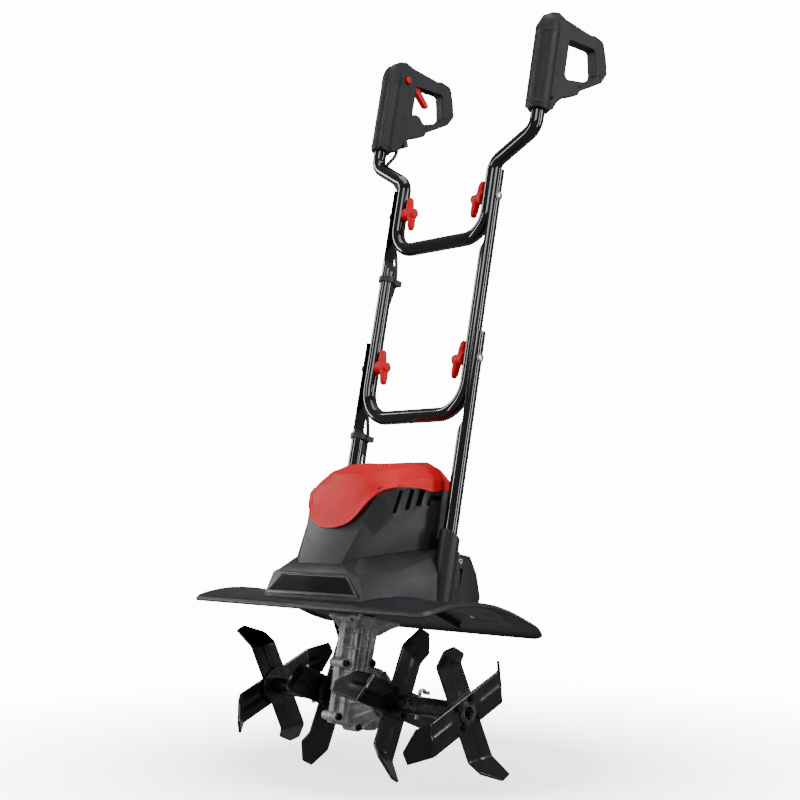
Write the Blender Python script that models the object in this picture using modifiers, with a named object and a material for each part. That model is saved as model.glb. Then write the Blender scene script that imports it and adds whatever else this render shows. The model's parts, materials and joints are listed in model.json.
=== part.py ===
"""Electric garden tiller: a leaning handle of three nested tube bars over a motor housing, with four tine stars.

Sizes and places are in millimetres and the helpers turn them into metres. They are given in the machine's own
axes: +X to the machine's left, +Y to the rear, +Z up along the handle, zero at the middle of the tine axle.
One empty then leans the whole machine back and stands it on its tines.
"""

import math

import bmesh
import bpy
from mathutils import Matrix, Vector

MM = 0.001
GAP = 0.35

# Stance
LEAN_DEG = 11.55
AXLE_HEIGHT = 107.4
AXLE_AHEAD = 112.28

# Handle tubes
TUBE_R = 11.0
TUBE_Y = 11.0
LOWER_X = 119.0
MIDDLE_X = 110.0
UPPER_X = 101.0
GRIP_X = 179.0
LOOP_X = 173.5
LOOP_HALF = 10.0
LOWER_FOOT_Z = 166.0
LOWER_TOP_Z = 558.0
MIDDLE_CROSS_Z = 432.0
MIDDLE_TOP_Z = 819.0
UPPER_CROSS_Z = 713.0
SWAN_LOW_Z = 832.0
SWAN_HIGH_Z = 875.0
UPPER_TOP_Z = 1058.0
LOWER_BOLT_Z = 516.5
UPPER_BOLT_Z = 776.0
MIDDLE_BEND_R = 50.0
UPPER_BEND_R = 40.0
SWAN_BEND_R = 26.0
LOWER_FLAT_Z = 416.0
MIDDLE_FLAT_Z = 698.0

# Switch, as (y, z)
TRIGGER_AT = (58.0, 1045.0)
BUTTON_AT = (33.0, 1042.0)
INLET_AT = (52.0, 934.0)

# Tines
OUTER_STAR_X = 210.0
INNER_STAR_X = 74.0
OUTER_STAR_DEG = 36.0
INNER_STAR_DEG = 169.0
STRIP_HALF = 21.5
STRIP_THICK = 4.0
TINE_BEND_DEG = 45.0
HUB_R = 13.5
AXLE_R = 9.0
PIN_X = 115.0

# Drive
MOTOR_Y = -36.0
WHEEL_TEETH = 26
WHEEL_TIP_R = 26.0
WHEEL_ROOT_R = 23.6
WORM_R = 9.0

# Guard
GUARD_HALF_X = 261.0
GUARD_FRONT_Y = -152.5
GUARD_REAR_Y = 104.0
GUARD_CREST_Y = -20.0
GUARD_CREST_Z = 147.5
GUARD_FRONT_DROP = 32.0
GUARD_REAR_DROP = 25.0
GUARD_FRONT_CORNER = 14.0
GUARD_CORNER = 42.0
GUARD_THICK = 3.0

# Housing
WALL = 3.0
SOCKET_R = 15.8
SOCKET_TOP_Z = 248.0
HOUSING_REAR_Y = 42.0

PARTS = "tiller"
CUTTERS = "tiller_cutters"


# ---------------------------------------------------------------- scene and materials


def clear_scene():
    for obj in list(bpy.data.objects):
        bpy.data.objects.remove(obj, do_unlink=True)
    for name in (PARTS, CUTTERS):
        collection = bpy.data.collections.new(name)
        bpy.context.scene.collection.children.link(collection)


def make_material(name, colour, roughness, metallic):
    material = bpy.data.materials.new(name)
    material.use_nodes = True
    shader = material.node_tree.nodes["Principled BSDF"]
    shader.inputs["Base Color"].default_value = (*colour, 1.0)
    shader.inputs["Roughness"].default_value = roughness
    shader.inputs["Metallic"].default_value = metallic
    return material


def make_empty(name, place, parent):
    empty = bpy.data.objects.new(name, None)
    bpy.data.collections[PARTS].objects.link(empty)
    empty.location = Vector(place) * MM
    empty.parent = parent
    return empty


# ---------------------------------------------------------------- shape helpers, all in millimetres


def add_object(name, data, material, pivot):
    """Links an object whose data is in the machine's axes, under the empty that its joint turns about."""
    obj = bpy.data.objects.new(name, data)
    if material:
        data.materials.append(material)
        bpy.data.collections[PARTS].objects.link(obj)
    else:
        bpy.data.collections[CUTTERS].objects.link(obj)
        obj.hide_render = True
        obj.display_type = "WIRE"
    obj.parent = pivot
    if pivot.parent:
        obj.matrix_parent_inverse = Matrix.Translation(-pivot.location)
    return obj


def mesh_part(name, bm, material, pivot):
    """Closes a bmesh into an object, with its faces turned outwards and its round stretches smooth."""
    bmesh.ops.recalc_face_normals(bm, faces=bm.faces)
    mesh = bpy.data.meshes.new(name)
    bm.to_mesh(mesh)
    bm.free()
    mesh.transform(Matrix.Scale(MM, 4))
    mesh.shade_smooth()
    mesh.set_sharp_from_angle(angle=math.radians(32.0))
    return add_object(name, mesh, material, pivot)


def block(name, low, high, material, pivot, bevel=0.0):
    size = [b - a for a, b in zip(low, high)]
    middle = [(a + b) / 2 for a, b in zip(low, high)]
    bm = bmesh.new()
    bmesh.ops.create_cube(bm, size=1.0)
    bmesh.ops.scale(bm, vec=size, verts=bm.verts)
    bmesh.ops.translate(bm, vec=middle, verts=bm.verts)
    if bevel:
        bmesh.ops.bevel(bm, geom=bm.edges[:], offset=bevel, segments=2, affect="EDGES", profile=0.5)
    return mesh_part(name, bm, material, pivot)


def rod(name, start, end, radius, material, pivot, sides=24, end_radius=None):
    """A cylinder or cone from start to end."""
    start, end = Vector(start), Vector(end)
    turn = (end - start).to_track_quat("Z", "Y").to_matrix().to_4x4()
    bm = bmesh.new()
    bmesh.ops.create_cone(
        bm, cap_ends=True, segments=sides, radius1=radius,
        radius2=radius if end_radius is None else end_radius, depth=(end - start).length,
        matrix=Matrix.Translation((start + end) / 2) @ turn,
    )
    return mesh_part(name, bm, material, pivot)


def turned(name, profile, base, material, pivot, along="Z", steps=24):
    """A profile of (radius, height) points, listed top to bottom, turned about an axis through base."""
    mesh = bpy.data.meshes.new(name)
    mesh.from_pydata([(r * MM, 0.0, h * MM) for r, h in profile], [(i, i + 1) for i in range(len(profile) - 1)], [])
    obj = add_object(name, mesh, material, pivot)
    if profile[0] == profile[-1]:
        bm = bmesh.new()
        bm.from_mesh(mesh)
        bmesh.ops.remove_doubles(bm, verts=bm.verts, dist=1e-6)
        bm.to_mesh(mesh)
        bm.free()
    screw = obj.modifiers.new("Turn", "SCREW")
    screw.steps = steps
    screw.render_steps = steps
    screw.use_merge_vertices = True
    screw.merge_threshold = 0.00001
    obj.location = Vector(base) * MM
    if along == "X":
        obj.rotation_euler = (0.0, math.radians(90.0), 0.0)
    return obj


def loft(name, rings, material, pivot):
    """Skins rings of the same number of points and closes both ends."""
    bm = bmesh.new()
    rows = [[bm.verts.new(point) for point in ring] for ring in rings]
    count = len(rows[0])
    for low, high in zip(rows, rows[1:]):
        for i in range(count):
            j = (i + 1) % count
            bm.faces.new((low[i], low[j], high[j], high[i]))
    for row in (rows[0], rows[-1]):
        bmesh.ops.triangulate(bm, faces=[bm.faces.new(row)])
    return mesh_part(name, bm, material, pivot)


def whole_ring(half):
    """Mirrors half a plan, given from its front middle to its rear middle, into a whole ring."""
    return list(half) + [(-x, y, z) for x, y, z in reversed(half) if x > 0]


def shrunk(half, wall, drop=0.0):
    """The same half plan moved inwards by a wall's thickness."""
    middle_y = (half[0][1] + half[-1][1]) / 2
    return [
        (max(0.0, x - wall), y + (wall if y < middle_y else -wall), z - drop) for x, y, z in half
    ]


def rounded(corners, radii, steps=5, closed=False):
    """A path through corners, each rounded with its own radius. Works in two or three dimensions."""
    points = [Vector(c).to_3d() for c in corners]
    count = len(points)
    path = []
    for i, corner in enumerate(points):
        if not closed and i in (0, count - 1):
            path.append(corner)
            continue
        back = (points[i - 1] - corner).normalized()
        ahead = (points[(i + 1) % count] - corner).normalized()
        half = back.angle(ahead) / 2
        reach = radii[i] / math.tan(half)
        centre = corner + (back + ahead).normalized() * (radii[i] / math.sin(half))
        first = corner + back * reach - centre
        last = corner + ahead * reach - centre
        sweep = first.angle(last)
        for k in range(steps + 1):
            share = k / steps
            arm = (first * math.sin((1 - share) * sweep) + last * math.sin(share * sweep)) / math.sin(sweep)
            path.append(centre + arm)
    return path


def swept(name, path, radius, material, pivot, resolution=4):
    """A round bar along a path, made into a mesh so that it can be cut and drilled."""
    curve = bpy.data.curves.new(name, "CURVE")
    curve.dimensions = "3D"
    curve.bevel_depth = radius * MM
    curve.bevel_resolution = resolution
    curve.use_fill_caps = True
    spline = curve.splines.new("POLY")
    spline.points.add(len(path) - 1)
    for point, place in zip(spline.points, path):
        point.co = (*(Vector(place) * MM), 1.0)
    return curve_to_mesh(name, curve, material, pivot)


def plate(name, outlines, thickness, middle_x, material, pivot):
    """A flat plate square to X. Outlines are closed (y, z) loops, the first one outside and the rest holes."""
    curve = bpy.data.curves.new(name, "CURVE")
    curve.dimensions = "2D"
    curve.fill_mode = "BOTH"
    curve.extrude = thickness / 2 * MM
    for outline in outlines:
        spline = curve.splines.new("POLY")
        spline.use_cyclic_u = True
        spline.points.add(len(outline) - 1)
        for point, place in zip(spline.points, outline):
            point.co = (place[0] * MM, place[1] * MM, 0.0, 1.0)
    stand = Matrix(((0, 0, 1, middle_x * MM), (1, 0, 0, 0), (0, 1, 0, 0), (0, 0, 0, 1)))
    return curve_to_mesh(name, curve, material, pivot, stand)


def curve_to_mesh(name, curve, material, pivot, turn=None):
    helper = bpy.data.objects.new(name + "_curve", curve)
    bpy.context.scene.collection.objects.link(helper)
    graph = bpy.context.evaluated_depsgraph_get()
    mesh = bpy.data.meshes.new_from_object(helper.evaluated_get(graph))
    bpy.data.objects.remove(helper)
    bm = bmesh.new()
    bm.from_mesh(mesh)
    bmesh.ops.remove_doubles(bm, verts=bm.verts, dist=1e-6)
    if turn:
        bmesh.ops.transform(bm, matrix=turn, verts=bm.verts)
    bmesh.ops.scale(bm, vec=(1 / MM, 1 / MM, 1 / MM), verts=bm.verts)
    bpy.data.meshes.remove(mesh)
    return mesh_part(name, bm, material, pivot)


def boolean(obj, tool, operation):
    modifier = obj.modifiers.new(operation.title() + "_" + tool.name, "BOOLEAN")
    modifier.operation = operation
    modifier.object = tool


def cut(obj, *tools):
    for tool in tools:
        boolean(obj, tool, "DIFFERENCE")


def fuse(obj, *tools):
    for tool in tools:
        boolean(obj, tool, "UNION")


# ---------------------------------------------------------------- guard


def guard_top(y):
    """Height of the guard's upper face: an arch, steep at the front edge and gentle at the rear."""
    if y < GUARD_CREST_Y:
        share = (GUARD_CREST_Y - y) / (GUARD_CREST_Y - GUARD_FRONT_Y)
        return GUARD_CREST_Z - GUARD_FRONT_DROP * share**2.2
    share = (y - GUARD_CREST_Y) / (GUARD_REAR_Y - GUARD_CREST_Y)
    return GUARD_CREST_Z - GUARD_REAR_DROP * share**1.5


def guard_half_width(y):
    """Half the guard's width: small round corners in front, large ones at the rear."""
    radius, from_edge = GUARD_FRONT_CORNER, y - GUARD_FRONT_Y
    if y > (GUARD_FRONT_Y + GUARD_REAR_Y) / 2:
        radius, from_edge = GUARD_CORNER, GUARD_REAR_Y - y
    into = max(0.0, radius - from_edge)
    return GUARD_HALF_X - radius + math.sqrt(max(0.0, radius**2 - into**2))


def guard_stations():
    """Rows from front to rear, closer together where the corners turn."""
    turn = [1 - math.cos(math.radians(a)) for a in (8, 30, 52, 72, 90)]
    middle = [-114.0, -90.0, -55.0, -20.0, 15.0, 40.0]
    return ([GUARD_FRONT_Y + GUARD_FRONT_CORNER * t for t in turn] + middle
            + [GUARD_REAR_Y - GUARD_CORNER * t for t in reversed(turn)])


def build_guard(root, black):
    """An arched sheet with a turned-down rim along its front and rear, and an opening over the gearbox."""
    across = [-1.0, -0.985, -0.5, 0.0, 0.5, 0.985, 1.0]
    rim_drop = 5.0
    bm = bmesh.new()
    rows = []
    for y in guard_stations():
        half = guard_half_width(y)
        rows.append([
            bm.verts.new((half * s, y, guard_top(y) - GUARD_THICK / 2 - (rim_drop if abs(s) == 1.0 else 0.0)))
            for s in across
        ])
    for front, rear in zip(rows, rows[1:]):
        for i in range(len(across) - 1):
            bm.faces.new((front[i], front[i + 1], rear[i + 1], rear[i]))
    guard = mesh_part("guard", bm, black, root)
    solid = guard.modifiers.new("Thickness", "SOLIDIFY")
    solid.thickness = GUARD_THICK * MM
    solid.offset = 0.0
    cut(guard, block("guard_opening", (-40, -70, 90), (40, 24, 170), None, root))
    return guard


def guard_clearance(root):
    """Everything below the guard's upper face, for trimming what stands on the guard."""
    rows = []
    for y in [GUARD_FRONT_Y - 30.0] + guard_stations() + [GUARD_REAR_Y + 30.0]:
        top = guard_top(min(max(y, GUARD_FRONT_Y), GUARD_REAR_Y)) + GAP
        rows.append([(-300.0, y, 60.0), (300.0, y, 60.0), (300.0, y, top), (-300.0, y, top)])
    return loft("guard_clearance", rows, None, root)


# ---------------------------------------------------------------- housing


def build_base(root, plastic, trim):
    """The flared lower housing: open above and below, with a socket for each handle tube."""
    foot = [(0, -131, 112), (110, -130, 112), (124, -104, 112), (126, 0, 112), (126, 42, 112), (0, 42, 112)]
    skirt = [(0, -131, 134), (108, -130, 134), (121, -104, 140), (123, 0, 160), (123, 42, 160), (0, 42, 160)]
    shoulder = [(0, -132, 165), (76, -131, 165), (98, -98, 180), (107, -15, 214), (108, 42, 222), (0, 42, 222)]
    top = [(0, -124, 178), (47, -123, 178), (85, -84, 200), (97, -15, 222), (98, 42, 229), (0, 42, 229)]
    halves = [foot, skirt, shoulder, top]
    base = loft("base_housing", [whole_ring(h) for h in halves], plastic, root)
    hollow = [shrunk([(x, y, z - 20) for x, y, z in foot], WALL)]
    hollow += [shrunk(h, WALL) for h in halves[1:]]
    hollow += [shrunk([(x, y, z + 20) for x, y, z in top], WALL)]
    inside = loft("base_inside", [whole_ring(h) for h in hollow], None, root)
    cut(base, inside)
    for side, sign in (("left", 1), ("right", -1)):
        socket = rod(f"socket_{side}", (sign * LOWER_X, TUBE_Y, 160), (sign * LOWER_X, TUBE_Y, SOCKET_TOP_Z),
                     SOCKET_R, None, root)
        fuse(base, socket)
        bore = rod(f"socket_bore_{side}", (sign * LOWER_X, TUBE_Y, LOWER_FOOT_Z - 1),
                   (sign * LOWER_X, TUBE_Y, SOCKET_TOP_Z + 9), TUBE_R + GAP, None, root)
        cut(base, bore)
    floor = block("motor_floor", (-100, -104, 158), (100, 40.5, 161.5), None, root)
    fuse(base, floor)
    cut(base, rod("motor_floor_hole", (0, MOTOR_Y, 150), (0, MOTOR_Y, 170), 20.0, None, root))
    cut(base, trim)
    return base


def build_hood(root, plastic):
    """The dark upper housing with four vent slots in each side."""
    sit = GAP
    halves = [
        [(0, -124, 178 + sit), (47, -123, 178 + sit), (85, -84, 200 + sit), (97, -15, 222 + sit),
         (98, 41, 229 + sit), (0, 41, 229 + sit)],
        [(0, -117, 230), (44, -116, 230), (84, -84, 245), (94, -15, 262), (95, 32, 262), (0, 32, 262)],
        [(0, -112, 236), (41, -111, 236), (82, -83, 252), (92, -15, 275), (92, 26, 275), (0, 28, 275)],
        [(0, -101, 296), (40, -99, 296), (80, -76, 296), (90, -15, 304), (90, 22, 306), (0, 30, 306)],
        [(0, -84, 322), (30, -80, 322), (58, -56, 324), (66, -15, 334), (64, 14, 334), (0, 20, 334)],
    ]
    hood = loft("motor_hood", [whole_ring(h) for h in halves], plastic, root)
    inner = [shrunk([(x, y, z - 15) for x, y, z in halves[0]], WALL)]
    inner += [shrunk(h, WALL, WALL if h is halves[-1] else 0.0) for h in halves]
    cut(hood, loft("hood_inside", [whole_ring(h) for h in inner], None, root))
    for sign in (1, -1):
        for i in range(4):
            y = -70.0 + 18.0 * i
            low, high = sorted((sign * 75.0, sign * 110.0))
            slot = block(f"vent_{'left' if sign > 0 else 'right'}_{i + 1}", (low, y, 268 + 4 * i),
                         (high, y + 7.0, 297 + 2 * i), None, root)
            cut(hood, slot)
    return hood


def build_top_cover(root, red):
    """The red cover, whose lower edge sweeps from low at the front to high along the sides."""
    halves = [
        [(0, -120, 231), (45, -119, 236), (66, -111, 256), (90, -98, 288), (97, -76, 300), (97, -29, 309),
         (97, -11, 306), (97, 18, 316), (84, 40, 316), (0, 44, 316)],
        [(0, -108, 290), (45, -106, 290), (64, -100, 300), (86, -90, 308), (94, -74, 315), (95, -29, 326),
         (95, -11, 328), (94, 18, 332), (80, 42, 330), (0, 48, 330)],
        [(0, -99, 331), (41, -95, 323), (58, -87, 326), (75, -74, 329), (82, -60, 332), (84, -20, 344),
         (84, 0, 348), (82, 18, 350), (70, 42, 341), (0, 47, 345)],
        [(0, -88, 339), (30, -84, 337), (43, -70, 339), (54, -55, 342), (60, -40, 345), (63, -10, 354),
         (61, 4, 358), (56, 18, 358), (45, 34, 351), (0, 38, 354)],
    ]
    cover = loft("top_cover", [whole_ring(h) for h in halves], red, root)
    inner = [shrunk([(x, y, z - 12) for x, y, z in halves[0]], 2.5)]
    inner += [shrunk(h, 2.5) for h in halves[:2]]
    inner += [shrunk(h, 2.5, 3.0) for h in halves[2:]]
    cut(cover, loft("cover_inside", [whole_ring(h) for h in inner], None, root))
    return cover


def build_rear_box(root, plastic, trim):
    """The rear cover, a box open at the bottom and towards the housing, sloping down behind."""
    front = HOUSING_REAR_Y + GAP
    halves = [
        [(0, front, 112), (105, front, 112), (104, 99, 112), (0, 99, 112)],
        [(0, front, 172), (105, front, 172), (102, 109, 172), (0, 110, 172)],
        [(0, front, 205), (104, front, 205), (99, 98, 205), (0, 99, 205)],
        [(0, front, 227), (103, front, 227), (95, 83, 229), (0, 84, 231)],
    ]
    box = loft("rear_box", [whole_ring(h) for h in halves], plastic, root)
    lowered = [[(x, y - 2 * WALL if y == front else y, z) for x, y, z in h] for h in halves]
    inner = [shrunk([(x, y, z - 20) for x, y, z in lowered[0]], WALL)]
    inner += [shrunk(h, WALL) for h in lowered[1:3]] + [shrunk(lowered[3], WALL, WALL)]
    cut(box, loft("rear_box_inside", [whole_ring(h) for h in inner], None, root))
    cut(box, trim)
    return box


def build_front_panel(root, gloss):
    """A black trapezoid plate on the front of the base."""
    low, high = -133.9, -131.0 - GAP - 0.6
    bm = bmesh.new()
    corners = [(-101, 136), (101, 136), (73, 161), (-73, 161)]
    front = [bm.verts.new((x, low, z)) for x, z in corners]
    back = [bm.verts.new((x, high, z)) for x, z in corners]
    bm.faces.new(front)
    bm.faces.new(back[::-1])
    for i in range(4):
        j = (i + 1) % 4
        bm.faces.new((front[i], back[i], back[j], front[j]))
    return mesh_part("front_panel", bm, gloss, root)


# ---------------------------------------------------------------- gearbox and drive


def build_gearbox_half(root, metal, sign, name):
    """Half of the cast gearbox: a post down from the guard, and the drum round the worm wheel."""
    seam = sign * 0.2
    spread = (seam, sign * 21.5)
    low, high = min(spread), max(spread)
    half = block(name, (low, -57, -42), (high, -15, 112), metal, root)
    drum = rod(name + "_drum", (seam, 0, 0), (sign * 19, 0, 0), 46.0, None, root, sides=32)
    cone = rod(name + "_cone", (sign * 17, 0, 0), (sign * 44, 0, 0), 45.0, None, root, sides=32, end_radius=27.0)
    wide = sorted((seam, sign * 36.0))
    flange = block(name + "_flange", (wide[0], -66, 108), (wide[1], 20, 118), None, root)
    neck = block(name + "_neck", (low, -20, 60), (high, 4, 112), None, root)
    fuse(half, drum, cone, flange, neck)
    for i, (y, z) in enumerate(((-60, 44), (-57, -33), (-12, 96))):
        reach = sorted((seam, sign * 24.0))
        fuse(half, rod(f"{name}_boss_{i + 1}", (reach[0], y, z), (reach[1], y, z), 6.0, None, root, sides=12))
    wheel_room = rod(name + "_wheel_room", (-sign, 0, 0), (sign * 11, 0, 0), WHEEL_TIP_R + 2.5, None, root)
    seat = rod(name + "_bearing_seat", (sign * 10, 0, 0), (sign * 36, 0, 0), 16.0 + GAP, None, root)
    mouth = rod(name + "_mouth", (sign * 35, 0, 0), (sign * 60, 0, 0), 15.5 + GAP, None, root)
    worm_room = rod(name + "_worm_room", (0, MOTOR_Y, -30), (0, MOTOR_Y, 90), WORM_R + 2.5, None, root)
    upper_seat = rod(name + "_upper_seat", (0, MOTOR_Y, 89), (0, MOTOR_Y, 130), 13.0 + GAP, None, root)
    lower_seat = rod(name + "_lower_seat", (0, MOTOR_Y, -38), (0, MOTOR_Y, -29), 11.0 + GAP, None, root)
    cut(half, wheel_room, seat, mouth, worm_room, upper_seat, lower_seat)
    return half


def ring_profile(inner, outer, low, high):
    """A closed rectangle, for turning into a bush or bearing."""
    return [(outer, high), (outer, low), (inner, low), (inner, high), (outer, high)]


def build_drive(root, rotor, tines, steel, copper, plastic, rubber):
    """Motor, worm shaft, worm wheel, and the bearings and seals that carry them."""
    axis = (0, MOTOR_Y, 0)
    can = [(45, 292), (45, 163), (26, 163), (26, 172), (31, 180), (31, 268), (41, 272), (41, 288), (18, 292)]
    turned("motor_stator", can + [can[0]], axis, steel, root, steps=32)
    turned("brush_plate", ring_profile(17.5, 39.5, 273.5, 284), axis, plastic, root)
    turned("worm_upper_bearing", ring_profile(6.35, 13.0, 90, 104), axis, steel, root)
    turned("worm_lower_bearing", ring_profile(6.35, 11.0, -37.5, -29.5), axis, steel, root)
    worm = [(0, 306), (6, 306), (6, 24)]
    for k in range(5):
        top = 20.0 - 8.0 * k
        worm += [(6.5, top + 3), (WORM_R, top + 1), (WORM_R, top - 1), (6.5, top - 3)]
    worm += [(6, -24), (6, -37), (0, -37)]
    turned("motor_shaft", worm, axis, steel, rotor)
    core = [(27, 256), (27, 192), (22, 184), (6.35, 184), (6.35, 302), (15, 302), (15, 276), (22, 264)]
    turned("armature", core + [core[0]], axis, copper, rotor)
    fan = turned("cooling_fan", ring_profile(6.35, 17, 164, 176), axis, plastic, rotor)
    for k in range(4):
        turn = math.radians(45.0 * k + 10.0)
        arm = Vector((math.cos(turn), math.sin(turn), 0)) * 24.0
        side = Vector((-math.sin(turn), math.cos(turn), 0)) * 1.0
        spot = Vector((0, MOTOR_Y, 0))
        fins = [[tuple(spot + arm * a + side * b + Vector((0, 0, z)))
                 for a, b in ((-1, -1), (1, -1), (1, 1), (-1, 1))] for z in (165.5, 174.5)]
        fuse(fan, loft(f"fan_blades_{k + 1}", fins, None, rotor))
    cut(fan, rod("fan_bore", (0, MOTOR_Y, 150), (0, MOTOR_Y, 190), 6.35, None, rotor))
    teeth = []
    for k in range(WHEEL_TEETH):
        for offset, radius in ((-0.30, WHEEL_ROOT_R), (-0.16, WHEEL_TIP_R), (0.16, WHEEL_TIP_R), (0.30, WHEEL_ROOT_R)):
            turn = 2 * math.pi * (k + offset) / WHEEL_TEETH
            teeth.append((radius * math.cos(turn), radius * math.sin(turn)))
    bore = [(9.35 * math.cos(math.radians(a)), 9.35 * math.sin(math.radians(a))) for a in range(0, 360, 20)]
    plate("worm_wheel", [teeth, bore], 15.0, 0.0, copper, tines)
    for side, sign in (("left", 1), ("right", -1)):
        low, high = sorted((sign * 12.0, sign * 24.0))
        turned(f"axle_bearing_{side}", ring_profile(AXLE_R + GAP, 16.0, low, high), (0, 0, 0), steel, root, "X")
        low, high = sorted((sign * 36.5, sign * 43.5))
        turned(f"axle_seal_{side}", ring_profile(AXLE_R + GAP, 15.5, low, high), (0, 0, 0), rubber, root, "X")


# ---------------------------------------------------------------- tines


def build_strip(name, x, angle, outward, metal, tines):
    """One steel strip with a bent, pointed blade at each end. Outward is +1 where both blades bend towards +X."""
    crease = [(66.0, -STRIP_HALF), (81.0, STRIP_HALF)]
    tip = [(88.0, -STRIP_HALF), (116.0, 0.0), (116.0, 17.5)]
    near, far = (Vector((0.0, s, n)) for s, n in crease)
    fold = Matrix.Rotation(-outward * math.radians(TINE_BEND_DEG), 4, far - near)
    bent = [near + fold @ (Vector((0.0, s, n)) - near) for s, n in tip]
    bm = bmesh.new()
    corners = []
    for half in (0.0, math.pi):
        spin = Matrix.Rotation(half, 4, "X")
        corners.append([bm.verts.new(spin @ p) for p in (near, far)])
        blade = [bm.verts.new(spin @ p) for p in bent]
        bm.faces.new([corners[-1][0], *blade, corners[-1][1]])
    bm.faces.new([corners[0][0], corners[0][1], corners[1][0], corners[1][1]])
    place = Matrix.Translation((x, 0, 0)) @ Matrix.Rotation(math.radians(angle), 4, "X")
    bmesh.ops.transform(bm, matrix=place, verts=bm.verts)
    strip = mesh_part(name, bm, metal, tines)
    solid = strip.modifiers.new("Thickness", "SOLIDIFY")
    solid.thickness = STRIP_THICK * MM
    solid.offset = 0.0
    solid.use_even_offset = True
    cut(strip, rod(name + "_eye", (x - 12, 0, 0), (x + 12, 0, 0), HUB_R + GAP, None, tines, sides=20))
    return strip


def build_star(side, sign, star, centre, angle, metal, tines):
    """Two crossed strips: the outboard one bends inboard and the inboard one bends outboard."""
    apart = (STRIP_THICK + GAP) / 2
    build_strip(f"{star}_tine_{side}_front", sign * (centre + apart), angle, -sign, metal, tines)
    build_strip(f"{star}_tine_{side}_back", sign * (centre - apart), angle + 90.0, sign, metal, tines)


def build_tines(tines, black_steel, bright_steel):
    axle = rod("axle", (-188, 0, 0), (188, 0, 0), AXLE_R, bright_steel, tines)
    flange_at = (STRIP_THICK + GAP) / 2 + STRIP_THICK / 2 + GAP
    for side, sign in (("left", 1), ("right", -1)):
        build_star(side, sign, "outer", OUTER_STAR_X, OUTER_STAR_DEG, black_steel, tines)
        build_star(side, sign, "inner", INNER_STAR_X, INNER_STAR_DEG, black_steel, tines)
        inner = [(AXLE_R + GAP, 102), (HUB_R, 102), (HUB_R, INNER_STAR_X - flange_at), (30, INNER_STAR_X - flange_at),
                 (30, INNER_STAR_X - flange_at - 3), (HUB_R, INNER_STAR_X - flange_at - 3), (HUB_R, 47),
                 (AXLE_R + GAP, 47), (AXLE_R + GAP, 102)]
        outer = [(AXLE_R + GAP, 217), (HUB_R, 217), (HUB_R, OUTER_STAR_X - flange_at), (30, OUTER_STAR_X - flange_at),
                 (30, OUTER_STAR_X - flange_at - 3), (HUB_R, OUTER_STAR_X - flange_at - 3), (HUB_R, 103),
                 (AXLE_R + GAP, 103), (AXLE_R + GAP, 217)]
        pin_hole = rod(f"pin_hole_{side}", (sign * PIN_X, 0, -30), (sign * PIN_X, 0, 30), 3.5, None, tines, sides=12)
        for name, profile in (("inner_hub", inner), ("outer_hub", outer)):
            run = [(r, sign * h) for r, h in profile]
            hub = turned(f"{name}_{side}", run if sign > 0 else run[::-1], (0, 0, 0), black_steel, tines, "X")
            if name == "outer_hub":
                cut(hub, pin_hole)
        cut(axle, pin_hole)
        loop = rounded([(0, 0, -19), (0, 0, 21), (0, 9, 24), (0, 9, -15)], [0, 3, 3, 0], steps=3)
        swept(f"hitch_pin_{side}", [p + Vector((sign * PIN_X, 0, 0)) for p in loop[:-1]]
              + [Vector((sign * PIN_X, 18, 20))], 3.0, bright_steel, tines, resolution=2)


# ---------------------------------------------------------------- handle


def bar_path(kind):
    """Centreline of a bar, from its left top end round to its right top end."""
    if kind == "middle":
        left = [(MIDDLE_X, TUBE_Y, MIDDLE_TOP_Z), (MIDDLE_X, TUBE_Y, MIDDLE_CROSS_Z)]
        radii = [0, MIDDLE_BEND_R]
    else:
        left = [(GRIP_X, TUBE_Y, UPPER_TOP_Z), (GRIP_X, TUBE_Y, SWAN_HIGH_Z), (UPPER_X, TUBE_Y, SWAN_LOW_Z),
                (UPPER_X, TUBE_Y, UPPER_CROSS_Z)]
        radii = [0, SWAN_BEND_R, SWAN_BEND_R, UPPER_BEND_R]
    right = [(-x, y, z) for x, y, z in reversed(left)]
    return rounded(left + right, radii + radii[::-1], steps=6)


def flat_end(name, sign, outer_x, start_z, pivot):
    """Cutter that flattens the inboard side of a tube's upper end, with a sloping run-out below it."""
    face = outer_x - (LOWER_X - MIDDLE_X) + TUBE_R + GAP
    rings = []
    for inboard, z in ((outer_x - 13.0, start_z - 22.0), (face, start_z), (face, start_z + 160.0)):
        rings.append([(sign * x, TUBE_Y + y, z)
                      for x, y in ((outer_x - 30.0, -20), (inboard, -20), (inboard, 20), (outer_x - 30.0, 20))])
    return loft(name, rings, None, pivot)


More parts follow.
